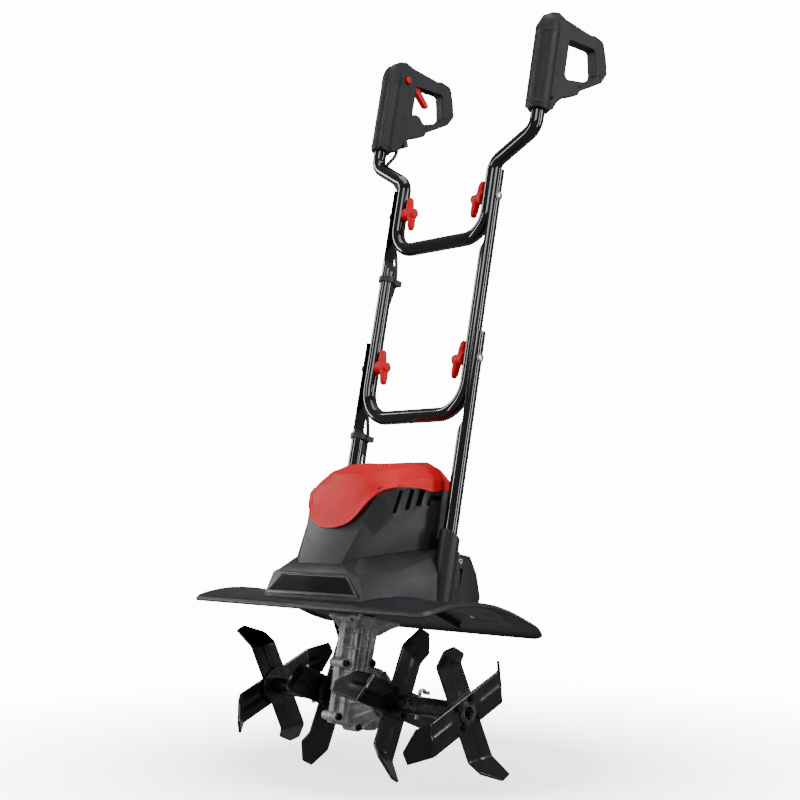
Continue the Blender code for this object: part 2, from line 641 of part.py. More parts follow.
def build_bars(root, lower_fold, upper_fold, paint):
    """Two lower tubes, the middle bar and the upper bar, nested side by side at their bolts."""
    pieces = {}
    for side, sign in (("left", 1), ("right", -1)):
        tube = rod(f"lower_tube_{side}", (sign * LOWER_X, TUBE_Y, LOWER_FOOT_Z), (sign * LOWER_X, TUBE_Y, LOWER_TOP_Z),
                   TUBE_R, paint, root, sides=24)
        cut(tube, flat_end(f"lower_flat_{side}", sign, LOWER_X, LOWER_FLAT_Z, root))
        pieces[f"lower_{side}"] = tube
    middle = swept("middle_bar", bar_path("middle"), TUBE_R, paint, lower_fold)
    upper = swept("upper_bar", bar_path("upper"), TUBE_R, paint, upper_fold)
    for side, sign in (("left", 1), ("right", -1)):
        cut(middle, flat_end(f"middle_flat_{side}", sign, MIDDLE_X, MIDDLE_FLAT_Z, lower_fold))
        low_hole = rod(f"lower_bolt_hole_{side}", (sign * 80, TUBE_Y, LOWER_BOLT_Z), (sign * 140, TUBE_Y, LOWER_BOLT_Z),
                       3.4, None, root, sides=12)
        high_hole = rod(f"upper_bolt_hole_{side}", (sign * 80, TUBE_Y, UPPER_BOLT_Z),
                        (sign * 140, TUBE_Y, UPPER_BOLT_Z), 3.4, None, root, sides=12)
        cut(pieces[f"lower_{side}"], low_hole)
        cut(middle, low_hole, high_hole)
        cut(upper, high_hole)
    return middle, upper


def build_bolt(name, sign, outer_x, z, metal, pivot):
    """A carriage bolt along X with a low domed head on the outboard side."""
    profile = [(0, outer_x + 2.6), (4.5, outer_x + 2.2), (7.5, outer_x + GAP), (3, outer_x + GAP), (3, outer_x - 54),
               (0, outer_x - 54)]
    run = [(r, sign * h) for r, h in profile]
    return turned(name, run if sign > 0 else run[::-1], (0, TUBE_Y, z), metal, pivot, "X", steps=16)


def build_wing_nut(name, sign, leg_x, z, red, pivot):
    """A moulded wing nut: a boss along the bolt and two wings."""
    start = leg_x - TUBE_R - GAP
    boss = rod(name, (sign * start, TUBE_Y, z), (sign * (start - 24), TUBE_Y, z), 9.0, red, pivot, sides=20)
    for label, up, lean in (("up", 1, 1.0), ("down", -1, -1.0)):
        x_mid = start - 13.0 + 3.0 * lean
        rings = []
        for reach, half_x, half_y in ((3.0, 6.0, 6.5), (20.0, 5.0, 6.0), (27.5, 3.8, 4.5)):
            shift = 2.5 * lean * reach / 27.5
            rings.append([(sign * (x_mid + shift + dx), TUBE_Y + dy, z + up * reach)
                          for dx, dy in ((-half_x, -half_y), (half_x, -half_y), (half_x, half_y), (-half_x, half_y))])
        fuse(boss, loft(f"{name}_wing_{label}", rings, None, pivot))
    cut(boss, rod(name + "_bore", (sign * (start + 1), TUBE_Y, z), (sign * (start - 30), TUBE_Y, z), 3.35, None,
                  pivot, sides=12))
    return boss


# ---------------------------------------------------------------- grips


def grip_outline():
    """The grip in side view: a domed sleeve in front, and the loop behind it."""
    corners = [(-4, 906), (-4, 1042), (9, 1067), (26, 1073), (42, 1069), (103, 1069), (112, 1072.5), (134, 1071),
               (145, 1046), (152, 1022), (141, 1002), (116, 984), (94, 969), (90, 960), (58, 943), (46, 930), (40, 917),
               (30, 908)]
    radii = [2, 14, 8, 8, 8, 8, 6, 9, 20, 7, 10, 20, 5, 6, 6, 6, 4, 2]
    return [(p.x, p.y) for p in rounded(corners, radii, steps=3, closed=True)]


def grip_opening(side):
    """The loop's opening. On the right a cord hook stands up from the lower bar."""
    corners = [(56, 1040), (118, 1049), (128, 1009), (120, 998), (96, 986), (62, 976), (56, 980)]
    radii = [5, 7, 8, 6, 12, 3, 3]
    if side == "right":
        corners[5:] = [(84, 981), (72, 991), (62, 991), (56, 986)]
        radii[5:] = [4, 3, 3, 2]
    return [(p.x, p.y) for p in rounded(corners, radii, steps=3, closed=True)]


def build_grip(side, sign, plastic, pivot):
    """Both moulded halves of one grip, clamped round the upper bar's end."""
    halves = []
    for label, way in (("inner", -sign), ("outer", sign)):
        start = sign * LOOP_X + way * 0.15
        middle = start + way * LOOP_HALF / 2
        name = f"{side}_grip_{label}_half"
        half = plate(name, [grip_outline(), grip_opening(side)], LOOP_HALF, middle, plastic, pivot)
        sleeve = rod(name + "_sleeve", (sign * GRIP_X, TUBE_Y, 903), (sign * GRIP_X, TUBE_Y, 1040), 17.0, None, pivot)
        fuse(half, sleeve)
        far_low, far_high = sorted((start, start - way * 60.0))
        cut(half, block(name + "_split", (far_low, -40, 880), (far_high, 200, 1100), None, pivot))
        cut(half, rod(name + "_bore", (sign * GRIP_X, TUBE_Y, 880), (sign * GRIP_X, TUBE_Y, UPPER_TOP_Z + 1),
                      TUBE_R + GAP, None, pivot))
        halves.append(half)
    return halves


def build_switch(halves, upper_fold, trigger_pivot, button_axis, red, plastic):
    """Trigger, lock-off button, switch and power inlet in the right grip."""
    x = -LOOP_X
    body_low, body_high = (x - 7.5, 27, 954), (x + 7.5, 46, 1014)
    block("switch_unit", body_low, body_high, plastic, upper_fold, bevel=1.0)
    pocket = block("switch_pocket", [v - GAP for v in body_low], [v + GAP for v in body_high], None, upper_fold)
    lever = [(52, 1046), (58, 1051), (65, 1046), (73, 1037), (93, 1021), (93, 1015), (86, 1013.5), (61, 1031),
             (53, 1040)]
    trigger = plate("trigger", [[(p.x, p.y) for p in rounded(lever, [2] * len(lever), steps=2, closed=True)]],
                    10.0, x, red, trigger_pivot)
    hinge = rod("trigger_hinge_hole", (x - 8, *TRIGGER_AT), (x + 8, *TRIGGER_AT), 2.2, None, trigger_pivot, sides=12)
    cut(trigger, hinge)
    slot = block("trigger_slot", (x - 5.7, 47, 1026), (x + 5.7, 105, 1056.5), None, upper_fold)
    button = turned("lock_button", [(0, 14.2), (5.2, 13.6), (6.0, 12.4), (6.0, 6.5), (0, 6.5)], (x, *BUTTON_AT), red,
                    button_axis, "X", steps=20)
    hole = rod("button_hole", (x + 2, *BUTTON_AT), (x + 40, *BUTTON_AT), 6.0 + GAP, None, upper_fold, sides=20)
    down = Vector((0.0, 0.5, -0.866))
    mouth = Vector((x, *INLET_AT))
    inlet = rod("power_inlet", mouth - down * 10, mouth + down * 8, 9.0, plastic, upper_fold, sides=20)
    cut(inlet, rod("inlet_socket", mouth - down * 4, mouth + down * 12, 6.8, None, upper_fold, sides=20))
    inlet_room = rod("inlet_room", mouth - down * (10 + GAP), mouth + down * 30, 9.0 + GAP, None, upper_fold, sides=20)
    for half in halves:
        cut(half, pocket, slot, hole, inlet_room)
    return button


# ---------------------------------------------------------------- lead and clips


def build_clip(name, x, z, plastic, pivot, lead_at):
    """A clip round a handle tube, with an ear that holds the lead."""
    clip = rod(name, (x, TUBE_Y, z - 4.5), (x, TUBE_Y, z + 4.5), 14.0, plastic, pivot)
    ear = block(name + "_ear", (x - 6, TUBE_Y + 9, z - 4.5), (x + 8, TUBE_Y + 26, z + 4.5), None, pivot)
    fuse(clip, ear)
    cut(clip, rod(name + "_bore", (x, TUBE_Y, z - 9), (x, TUBE_Y, z + 9), TUBE_R + GAP, None, pivot))
    cut(clip, rod(name + "_lead_hole", (*lead_at, z - 9), (*lead_at, z + 9), 3.0 + GAP, None, pivot, sides=12))
    return clip


def smooth_path(points, spacing):
    """Points a spacing apart along a Catmull-Rom curve through the given points."""
    knots = [Vector(p) for p in points]
    ends = [2 * knots[0] - knots[1]] + knots + [2 * knots[-1] - knots[-2]]
    path = []
    for i in range(1, len(ends) - 2):
        a, b, c, d = ends[i - 1 : i + 3]
        steps = max(1, round((c - b).length / spacing))
        for k in range(steps):
            t = k / steps
            path.append(0.5 * ((2 * b) + (c - a) * t + (2 * a - 5 * b + 4 * c - d) * t**2
                               + (3 * b - a - 3 * c + d) * t**3))
    return path + [knots[-1]]


def build_lead(root, lower_fold, upper_fold, rubber):
    """The lead from the switch to the housing, parted where the handle folds."""
    upper = [(-173.5, 41, 910), (-175, 36, 899), (-178, 29, 886), (-174, 27, 868), (-150, 27, 848), (-131, 26, 826),
             (-125, 25, 800), (-125, 24, 780)]
    middle = [(-125, 24, 772), (-122, 25, 740), (-113, 28, 700), (-110, 29, 672), (-110, 29, 660), (-116, 27, 630),
              (-127, 25, 592), (-134.5, 24, 566), (-134.5, 24, 545), (-134.5, 24, 521)]
    lower = [(-134.5, 24, 512), (-131, 24, 480), (-124, 27, 440), (-119, 29, 412), (-119, 29, 396), (-116, 29, 350),
             (-108, 38, 300), (-96, 54, 262), (-92, 60, 236)]
    for name, points, pivot in (("lead_upper", upper, upper_fold), ("lead_middle", middle, lower_fold),
                                ("lead_lower", lower, root)):
        swept(name, smooth_path(points, 16.0), 3.0, rubber, pivot, resolution=2)


# ---------------------------------------------------------------- assembly


def main():
    clear_scene()
    plastic = make_material("dark_plastic", (0.045, 0.048, 0.053), 0.45, 0.0)
    gloss = make_material("gloss_panel", (0.012, 0.012, 0.014), 0.25, 0.0)
    red = make_material("red_plastic", (0.62, 0.018, 0.022), 0.35, 0.0)
    guard_black = make_material("guard_plastic", (0.030, 0.032, 0.040), 0.42, 0.0)
    grip_black = make_material("grip_plastic", (0.030, 0.034, 0.037), 0.55, 0.0)
    tube_paint = make_material("tube_paint", (0.006, 0.006, 0.010), 0.12, 0.0)
    cast = make_material("cast_aluminium", (0.52, 0.52, 0.54), 0.42, 1.0)
    tine_black = make_material("tine_paint", (0.016, 0.016, 0.019), 0.35, 0.0)
    bright = make_material("bright_steel", (0.62, 0.62, 0.64), 0.28, 1.0)
    copper = make_material("copper_bronze", (0.55, 0.30, 0.14), 0.40, 1.0)
    rubber = make_material("black_rubber", (0.02, 0.02, 0.02), 0.65, 0.0)

    root = make_empty("machine", (0, -AXLE_AHEAD, AXLE_HEIGHT), None)
    root.rotation_euler = (math.radians(-LEAN_DEG), 0.0, 0.0)
    tines = make_empty("tine_axis", (0, 0, 0), root)
    rotor = make_empty("rotor_axis", (0, MOTOR_Y, 0), root)
    lower_fold = make_empty("lower_fold_axis", (0, TUBE_Y, LOWER_BOLT_Z), root)
    upper_fold = make_empty("upper_fold_axis", (0, TUBE_Y, UPPER_BOLT_Z), root)
    trigger_pivot = make_empty("trigger_axis", (-LOOP_X, *TRIGGER_AT), root)
    button_axis = make_empty("button_axis", (-LOOP_X, *BUTTON_AT), root)

    trim = guard_clearance(root)
    build_guard(root, guard_black)
    build_base(root, plastic, trim)
    build_hood(root, plastic)
    build_top_cover(root, red)
    build_rear_box(root, plastic, trim)
    build_front_panel(root, gloss)
    build_gearbox_half(root, cast, 1, "gearbox_left_half")
    build_gearbox_half(root, cast, -1, "gearbox_right_half")
    build_drive(root, rotor, tines, bright, copper, plastic, rubber)
    build_tines(tines, tine_black, bright)

    build_bars(root, lower_fold, upper_fold, tube_paint)
    for side, sign in (("left", 1), ("right", -1)):
        build_bolt(f"lower_bolt_{side}", sign, LOWER_X + TUBE_R, LOWER_BOLT_Z, bright, root)
        build_bolt(f"upper_bolt_{side}", sign, MIDDLE_X + TUBE_R, UPPER_BOLT_Z, bright, lower_fold)
        nut_low = make_empty(f"lower_nut_axis_{side}", (sign * MIDDLE_X, TUBE_Y, LOWER_BOLT_Z), root)
        nut_high = make_empty(f"upper_nut_axis_{side}", (sign * UPPER_X, TUBE_Y, UPPER_BOLT_Z), root)
        build_wing_nut(f"lower_wing_nut_{side}", sign, MIDDLE_X, LOWER_BOLT_Z, red, nut_low)
        build_wing_nut(f"upper_wing_nut_{side}", sign, UPPER_X, UPPER_BOLT_Z, red, nut_high)

    build_grip("left", 1, grip_black, upper_fold)
    right_halves = build_grip("right", -1, grip_black, upper_fold)
    build_switch(right_halves, upper_fold, trigger_pivot, button_axis, red, plastic)
    build_clip("upper_cable_clip", -MIDDLE_X, 666.0, plastic, lower_fold, (-110.0, 29.0))
    build_clip("lower_cable_clip", -LOWER_X, 404.0, plastic, root, (-119.0, 29.0))
    build_lead(root, lower_fold, upper_fold, rubber)


main()
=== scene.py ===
"""Looks for the electric garden tiller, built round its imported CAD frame.

Shapes are given in millimetres in the machine's own axes (+X to its left, +Y to the rear, +Z up along the
handle, zero at the middle of the tine axle) and are turned into the frame's metres when they become objects.
"""

import json
import math

import bmesh
import bpy
from mathutils import Matrix, Vector

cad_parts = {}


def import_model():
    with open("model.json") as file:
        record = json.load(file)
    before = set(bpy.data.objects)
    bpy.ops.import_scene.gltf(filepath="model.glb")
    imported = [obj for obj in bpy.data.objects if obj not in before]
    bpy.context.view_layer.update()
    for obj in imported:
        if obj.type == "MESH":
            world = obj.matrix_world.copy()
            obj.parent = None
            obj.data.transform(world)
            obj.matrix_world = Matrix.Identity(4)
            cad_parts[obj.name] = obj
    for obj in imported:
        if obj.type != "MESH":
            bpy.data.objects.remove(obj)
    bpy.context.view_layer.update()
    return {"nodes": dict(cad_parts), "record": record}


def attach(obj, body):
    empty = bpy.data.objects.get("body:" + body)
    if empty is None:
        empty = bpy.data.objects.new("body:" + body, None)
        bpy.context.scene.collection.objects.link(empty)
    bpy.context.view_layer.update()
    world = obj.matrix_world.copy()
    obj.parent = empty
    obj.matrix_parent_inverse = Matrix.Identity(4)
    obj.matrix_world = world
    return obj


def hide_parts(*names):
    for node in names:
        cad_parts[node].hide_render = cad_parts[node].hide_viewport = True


MM = 0.001
LEAN = math.radians(11.55)
AXLE_AT = Vector((0.0, -0.11228, 0.1074))
TO_FRAME = Matrix.Translation(AXLE_AT) @ Matrix.Rotation(-LEAN, 4, "X") @ Matrix.Scale(MM, 4)
GAP = 0.35  # clearance between neighbouring pieces

# Places and sizes that several pieces share, in machine millimetres.
TUBE_RADIUS, TUBE_Y = 11.0, 11.0
LOWER_TUBE_X, MIDDLE_LEG_X, UPPER_LEG_X = 119.0, 110.0, 101.0
SLEEVE_X, LOOP_X = 179.0, 173.5
OUTER_STAR_X, INNER_STAR_X, STAR_SPREAD = 210.0, 74.0, 2.175

# The ground's glow rises from the first strength to the second between the two distances, in metres.
SOFT_LIGHT = 0.20
BACKDROP_LIGHT = 14.0
FLOOR_REACH = (0.25, 1.1)
FLOOR_GLOW = (2.2, 13.5)


# ---------------------------------------------------------------- materials


class Nodes:
    """A short way to write node trees: each call adds a node and returns its main output."""

    def __init__(self, name):
        self.material = bpy.data.materials.new(name)
        self.material.use_nodes = True
        self.tree = self.material.node_tree
        self.shader = self.tree.nodes["Principled BSDF"]
        self.place = self.tree.nodes.new("ShaderNodeTexCoord").outputs["Object"]

    def link(self, source, target):
        self.tree.links.new(source, target)

    def add(self, kind, output, inputs, **settings):
        node = self.tree.nodes.new(kind)
        for key, value in settings.items():
            setattr(node, key, value)
        for key, value in inputs.items():
            if isinstance(value, bpy.types.NodeSocket):
                self.link(value, node.inputs[key])
            else:
                node.inputs[key].default_value = value
        return node.outputs[output]

    def noise(self, scale, detail=3.0, roughness=0.55, distortion=0.0, place=None):
        inputs = {"Vector": place or self.place, "Scale": scale, "Detail": detail, "Roughness": roughness}
        return self.add("ShaderNodeTexNoise", "Fac", {**inputs, "Distortion": distortion})

    def stretched(self, x, y, z):
        """Texture space scaled unequally, for brushed or drawn marks."""
        return self.add("ShaderNodeMapping", "Vector", {"Vector": self.place, "Scale": (x, y, z)})

    def ranged(self, value, low, high, to_low, to_high):
        inputs = {"Value": value, "From Min": low, "From Max": high, "To Min": to_low, "To Max": to_high}
        return self.add("ShaderNodeMapRange", "Result", inputs)

    def mixed(self, share, first, second):
        node = self.tree.nodes.new("ShaderNodeMix")
        node.data_type = "RGBA"
        for socket, value in ((node.inputs[0], share), (node.inputs[6], first), (node.inputs[7], second)):
            if isinstance(value, bpy.types.NodeSocket):
                self.link(value, socket)
            else:
                socket.default_value = value if isinstance(value, float) else (*value, 1.0)
        return node.outputs[2]

    def edges(self, low, high):
        """One along convex edges, nothing on flats."""
        point = self.tree.nodes.new("ShaderNodeNewGeometry").outputs["Pointiness"]
        return self.ranged(point, low, high, 0.0, 1.0)

    def product(self, first, second):
        return self.add("ShaderNodeMath", "Value", {0: first, 1: second}, operation="MULTIPLY")

    def bump(self, height, strength, distance):
        inputs = {"Height": height, "Strength": strength, "Distance": distance}
        self.link(self.add("ShaderNodeBump", "Normal", inputs), self.shader.inputs["Normal"])

    def finish(self, colour, roughness, metallic=0.0, **constants):
        self.shader.inputs["Metallic"].default_value = metallic
        for socket, value in (("Base Color", colour), ("Roughness", roughness)):
            if isinstance(value, bpy.types.NodeSocket):
                self.link(value, self.shader.inputs[socket])
            else:
                self.shader.inputs[socket].default_value = value if socket == "Roughness" else (*value, 1.0)
        for key, value in constants.items():
            self.shader.inputs[key.replace("_", " ")].default_value = value
        return self.material


def plastic(name, dark, light, rough, grain, edge, specular):
    """Moulded plastic: a fine spark-eroded grain, faint mould flow, and paler rubbed edges."""
    n = Nodes(name)
    flow = n.noise(9.0, 4.0, 0.6, 0.8)
    base = n.mixed(n.ranged(flow, 0.35, 0.7, 0.0, 1.0), dark, light)
    rubbed = n.product(n.edges(0.52, 0.60), n.ranged(n.noise(60.0, 4.0), 0.35, 0.65, 0.2, 1.0))
    colour = n.mixed(n.product(rubbed, 0.55), base, edge)
    fine = n.noise(1400.0, 2.0, 0.6)
    smudge = n.ranged(n.noise(16.0, 5.0, 0.65), 0.3, 0.7, rough - 0.06, rough + 0.07)
    n.bump(fine, grain, 0.0004)
    return n.finish(colour, smudge, Specular_IOR_Level=specular)


def gloss_paint(name, dark, light, rough):
    """Glossy paint over drawn tube: slight waviness, faint dust and fine scratches along the tube."""
    n = Nodes(name)
    dust = n.ranged(n.noise(22.0, 6.0, 0.7), 0.45, 0.75, 0.0, 1.0)
    scratch = n.ranged(n.noise(240.0, 2.0, 0.5, 0.0, n.stretched(1.0, 1.0, 0.03)), 0.62, 0.72, 0.0, 1.0)
    colour = n.mixed(n.product(dust, 0.35), dark, light)
    marks = n.add("ShaderNodeMath", "Value", {0: n.product(dust, 0.6), 1: n.product(scratch, 0.4)},
                  operation="ADD")
    roughness = n.ranged(marks, 0.0, 1.0, rough, rough + 0.07)
    n.bump(n.noise(12.0, 2.0), 0.02, 0.0004)
    return n.finish(colour, roughness, Coat_Weight=0.6, Coat_Roughness=0.04, Specular_IOR_Level=0.55)


def cast_metal(name):
    """Cast aluminium: mottled grey, dark in its pits and bright on its edges."""
    n = Nodes(name)
    mottle = n.noise(45.0, 8.0, 0.68, 0.4)
    colour = n.mixed(n.ranged(mottle, 0.34, 0.66, 0.0, 1.0), (0.24, 0.24, 0.25), (0.62, 0.62, 0.64))
    worn = n.mixed(n.product(n.edges(0.51, 0.58), 0.8), colour, (0.82, 0.82, 0.84))
    run = n.noise(90.0, 5.0, 0.65, 0.0, n.stretched(1.0, 1.0, 0.12))
    roughness = n.ranged(run, 0.3, 0.7, 0.30, 0.52)
    n.bump(n.noise(420.0, 4.0, 0.65), 0.35, 0.0006)
    return n.finish(worn, roughness, 0.45)


def blade_paint(name):
    """Thin black paint on sheet steel, worn to grey metal at the edges and streaked along the flats."""
    n = Nodes(name)
    streak = n.noise(30.0, 7.0, 0.7, 0.6)
    base = n.mixed(n.ranged(streak, 0.35, 0.72, 0.0, 1.0), (0.0022, 0.0022, 0.0035), (0.0065, 0.0068, 0.0090))
    wear = n.product(n.edges(0.53, 0.62), n.ranged(n.noise(130.0, 5.0, 0.7), 0.42, 0.62, 0.0, 1.0))
    colour = n.mixed(n.product(wear, 0.8), base, (0.20, 0.20, 0.215))
    roughness = n.ranged(n.noise(24.0, 6.0, 0.7), 0.3, 0.7, 0.16, 0.30)
    n.bump(n.noise(300.0, 4.0, 0.6), 0.10, 0.0004)
    return n.finish(colour, roughness, 0.0, Coat_Weight=0.25, Coat_Roughness=0.10, Specular_IOR_Level=0.5)


def bare_metal(name, colour_low, colour_high, rough):
    """Machined or plated metal with a fine brushed mottle."""
    n = Nodes(name)
    brushed = n.noise(260.0, 4.0, 0.6, 0.0, n.stretched(1.0, 1.0, 1.0))
    colour = n.mixed(n.ranged(brushed, 0.3, 0.7, 0.0, 1.0), colour_low, colour_high)
    roughness = n.ranged(n.noise(40.0, 5.0), 0.3, 0.7, rough - 0.08, rough + 0.10)
    n.bump(brushed, 0.08, 0.0003)
    return n.finish(colour, roughness, 1.0)


def rubber(name):
    """Black rubber with a pale bloom in patches."""
    n = Nodes(name)
    bloom = n.ranged(n.noise(30.0, 6.0, 0.7), 0.4, 0.75, 0.0, 1.0)
    colour = n.mixed(bloom, (0.010, 0.010, 0.011), (0.030, 0.030, 0.031))
    n.bump(n.noise(900.0, 2.0), 0.15, 0.0003)
    return n.finish(colour, n.ranged(bloom, 0.0, 1.0, 0.42, 0.62))


def floor_material():
    """Pale paper with a painted glow that rises away from the middle, brightening it into the backdrop as a lit
    studio sweep does; the weaker glow near the middle leaves the floor darker round the machine, a painted
    shade where the lamps' shadow falls.
    """
    n = Nodes("glowing_floor_paper")
    tone = n.noise(3.0, 3.0)
    colour = n.mixed(n.ranged(tone, 0.3, 0.7, 0.0, 1.0), (0.86, 0.86, 0.86), (0.89, 0.89, 0.89))
    reach = n.add("ShaderNodeVectorMath", "Value", {0: n.place}, operation="LENGTH")
    # Painted light: the floor's emission grows with distance from its middle, so it glows white far off and is
    # dimmer, a painted shade, round the machine.
    n.link(n.ranged(reach, *FLOOR_REACH, *FLOOR_GLOW), n.shader.inputs["Emission Strength"])
    white = (1.0, 1.0, 1.0, 1.0)
    return n.finish(colour, 0.75, Specular_IOR_Level=0.2, Emission_Color=white)


def make_materials():
    """The record's material slots, and the finishes that only the looks have."""
    plastics = {  # dark, light, roughness, grain, rubbed edge, specular
        "dark_plastic": ((0.0075, 0.0080, 0.0092), (0.0125, 0.0132, 0.0150), 0.44, 0.24,
                         (0.035, 0.037, 0.042), 0.42),
        "guard_plastic": ((0.0085, 0.0092, 0.0135), (0.0145, 0.0156, 0.0215), 0.36, 0.14,
                          (0.045, 0.048, 0.06), 0.45),
        "grip_plastic": ((0.0060, 0.0078, 0.0098), (0.0100, 0.0125, 0.0150), 0.54, 0.45,
                         (0.028, 0.032, 0.035), 0.40),
        "gloss_panel": ((0.0015, 0.0015, 0.002), (0.003, 0.003, 0.004), 0.16, 0.03,
                        (0.02, 0.02, 0.022), 0.5),
        "rim_plastic": ((0.020, 0.021, 0.024), (0.030, 0.031, 0.035), 0.34, 0.08,
                        (0.07, 0.07, 0.075), 0.5),
        "red_plastic": ((0.66, 0.0022, 0.0070), (0.76, 0.0040, 0.0100), 0.48, 0.08,
                        (0.80, 0.030, 0.035), 0.22),
    }
    return {
        **{name: plastic(name, *settings) for name, settings in plastics.items()},
        "tube_paint": gloss_paint("tube_paint", (0.0020, 0.0020, 0.0040), (0.0075, 0.0075, 0.012), 0.08),
        "cast_aluminium": cast_metal("cast_aluminium"),
        "tine_paint": blade_paint("tine_paint"),
        "bright_steel": bare_metal("bright_steel", (0.50, 0.50, 0.52), (0.74, 0.74, 0.75), 0.26),
        "blackened_screw": bare_metal("blackened_screw", (0.020, 0.020, 0.022), (0.050, 0.050, 0.054), 0.34),
        "copper_bronze": bare_metal("copper_bronze", (0.45, 0.22, 0.10), (0.66, 0.36, 0.18), 0.34),
        "black_rubber": rubber("black_rubber"),
    }


# ---------------------------------------------------------------- shape helpers


def mirrored(half):
    """A whole ring from its +X half, which starts and ends on the middle plane."""
    return half + [(-x, y, z) for x, y, z in half[-2:0:-1]]


def loft(bm, rings, caps=True):
    """Closed skin through rings of equal length."""
    rows = [[bm.verts.new(p) for p in ring] for ring in rings]
    count = len(rows[0])
    for low, high in zip(rows, rows[1:]):
        for i in range(count):
            j = (i + 1) % count
            bm.faces.new((low[i], low[j], high[j], high[i]))
    if caps:
        bm.faces.new(rows[0][::-1])
        bm.faces.new(rows[-1])
    return rows


def box(bm, low, high):
    (x0, y0, z0), (x1, y1, z1) = low, high
    loft(bm, [[(x0, y0, z), (x1, y0, z), (x1, y1, z), (x0, y1, z)] for z in (z0, z1)])


def spun(bm, profile, start, direction, steps=32):
    """A closed turned shape. The profile is (radius, distance along), both ends on the axis."""
    direction = Vector(direction).normalized()
    side = direction.orthogonal().normalized()
    other = direction.cross(side)
    start = Vector(start)
    rings = []
    for radius, along in profile[1:-1]:
        angles = [2 * math.pi * i / steps for i in range(steps)]
        rings.append([start + direction * along + (side * math.cos(a) + other * math.sin(a)) * radius
                      for a in angles])
    rows = loft(bm, rings, caps=False)
    for row, (_, along), flip in ((rows[0], profile[0], True), (rows[-1], profile[-1], False)):
        tip = bm.verts.new(start + direction * along)
        for i in range(steps):
            pair = (row[(i + 1) % steps], row[i]) if flip else (row[i], row[(i + 1) % steps])
            bm.faces.new((*pair, tip))


def bar(bm, start, end, radius, end_radius=None, chamfer=0.8, steps=32):
    """A round bar with broken edges."""
    far = Vector(end) - Vector(start)
    long, last = far.length, radius if end_radius is None else end_radius
    profile = [(0, 0), (radius - chamfer, 0), (radius, chamfer)]
    profile += [(last, long - chamfer), (last - chamfer, long), (0, long)]
    spun(bm, profile, start, far, steps)


def prism(bm, outline, low_x, high_x):
    """A plate with its outline in (y, z), from one x to another."""
    loft(bm, [[(x, y, z) for y, z in outline] for x in (low_x, high_x)])


def rounded(corners, radii, steps=5):
    """A closed outline in (y, z) with each corner rounded."""
    points = []
    for i, radius in enumerate(radii):
        before, at, after = (Vector(corners[(i + k) % len(corners)]) for k in (-1, 0, 1))
        into, out = (before - at).normalized(), (after - at).normalized()
        half = into.angle(out) / 2
        reach = min(radius / math.tan(half), 0.48 * (before - at).length, 0.48 * (after - at).length)
        first, last = at + into * reach, at + out * reach
        for k in range(steps + 1):
            t = k / steps
            points.append(tuple(first * (1 - t) ** 2 + at * 2 * t * (1 - t) + last * t**2))
    return points


def smoothstep(low, high, value):
    t = min(1.0, max(0.0, (value - low) / (high - low)))
    return t * t * (3.0 - 2.0 * t)


def new_object(name, bm):
    """An object in the frame's metres from a mesh in machine millimetres."""
    bmesh.ops.recalc_face_normals(bm, faces=bm.faces)
    bm.transform(TO_FRAME)
    mesh = bpy.data.meshes.new(name)
    bm.to_mesh(mesh)
    bm.free()
    obj = bpy.data.objects.new(name, mesh)
    bpy.context.scene.collection.objects.link(obj)
    return obj


def cut(obj, *cutters):
    """Takes each cutter's space out of an object."""
    for cutter in cutters:
        step = obj.modifiers.new("Cut", "BOOLEAN")
        step.operation, step.object, step.solver = "DIFFERENCE", cutter, "EXACT"


def bevel(obj, width, segments, angle):
    """Rounds every edge that turns by more than the angle."""
    step = obj.modifiers.new("Bevel", "BEVEL")
    step.width, step.segments = width * MM, segments
    step.limit_method, step.angle_limit = "ANGLE", math.radians(angle)
    step.use_clamp_overlap = True


def moulded(obj, voxel, rounds):
    """Welds overlapping solids into one skin and softens its edges."""
    step = obj.modifiers.new("Weld", "REMESH")
    step.mode, step.voxel_size = "VOXEL", voxel * MM
    soft = obj.modifiers.new("Soften", "SMOOTH")
    soft.factor, soft.iterations = 0.5, rounds


def settle(obj, *helpers):
    """Turns the object's modifiers into its mesh and removes the helpers they used."""
    graph = bpy.context.evaluated_depsgraph_get()
    mesh = bpy.data.meshes.new_from_object(obj.evaluated_get(graph))
    obj.modifiers.clear()
    old, obj.data = obj.data, mesh
    bpy.data.meshes.remove(old)
    for helper in helpers:
        data = helper.data
        bpy.data.objects.remove(helper)
        bpy.data.meshes.remove(data)
    return obj


def dress(obj, looks, slot, body, nodes=(), sharp=32.0):
    """Gives a piece its finish, its body and the CAD nodes that it stands for."""
    obj.data.materials.clear()
    obj.data.materials.append(looks[slot])
    obj.data.shade_smooth()
    if sharp:
        obj.data.set_sharp_from_angle(angle=math.radians(sharp))
    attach(obj, body)
    if nodes:
        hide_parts(*nodes)
    return obj


# ---------------------------------------------------------------- guard

GUARD_HALF_X, GUARD_FRONT_Y, GUARD_REAR_Y = 261.0, -152.5, 104.0
GUARD_CREST_Y, GUARD_CREST_Z = -20.0, 147.5
GUARD_FRONT_DROP, GUARD_REAR_DROP = 32.0, 25.0
GUARD_FRONT_CORNER, GUARD_REAR_CORNER = 14.0, 42.0
GUARD_SCREWS = ((66, 9), (110, -12), (197, -43), (165, 34))


def guard_top(y):
    """Height of the guard's upper face."""
    if y < GUARD_CREST_Y:
        share = (GUARD_CREST_Y - y) / (GUARD_CREST_Y - GUARD_FRONT_Y)
        return GUARD_CREST_Z - GUARD_FRONT_DROP * share**2.2
    share = (y - GUARD_CREST_Y) / (GUARD_REAR_Y - GUARD_CREST_Y)
    return GUARD_CREST_Z - GUARD_REAR_DROP * share**1.5


def guard_half_width(y):
    """Half the guard's width, less at its rounded corners."""
    radius, from_edge = GUARD_FRONT_CORNER, y - GUARD_FRONT_Y
    if y > (GUARD_FRONT_Y + GUARD_REAR_Y) / 2:
        radius, from_edge = GUARD_REAR_CORNER, GUARD_REAR_Y - y
    into = max(0.0, radius - from_edge)
    return GUARD_HALF_X - radius + math.sqrt(max(0.0, radius**2 - into**2))


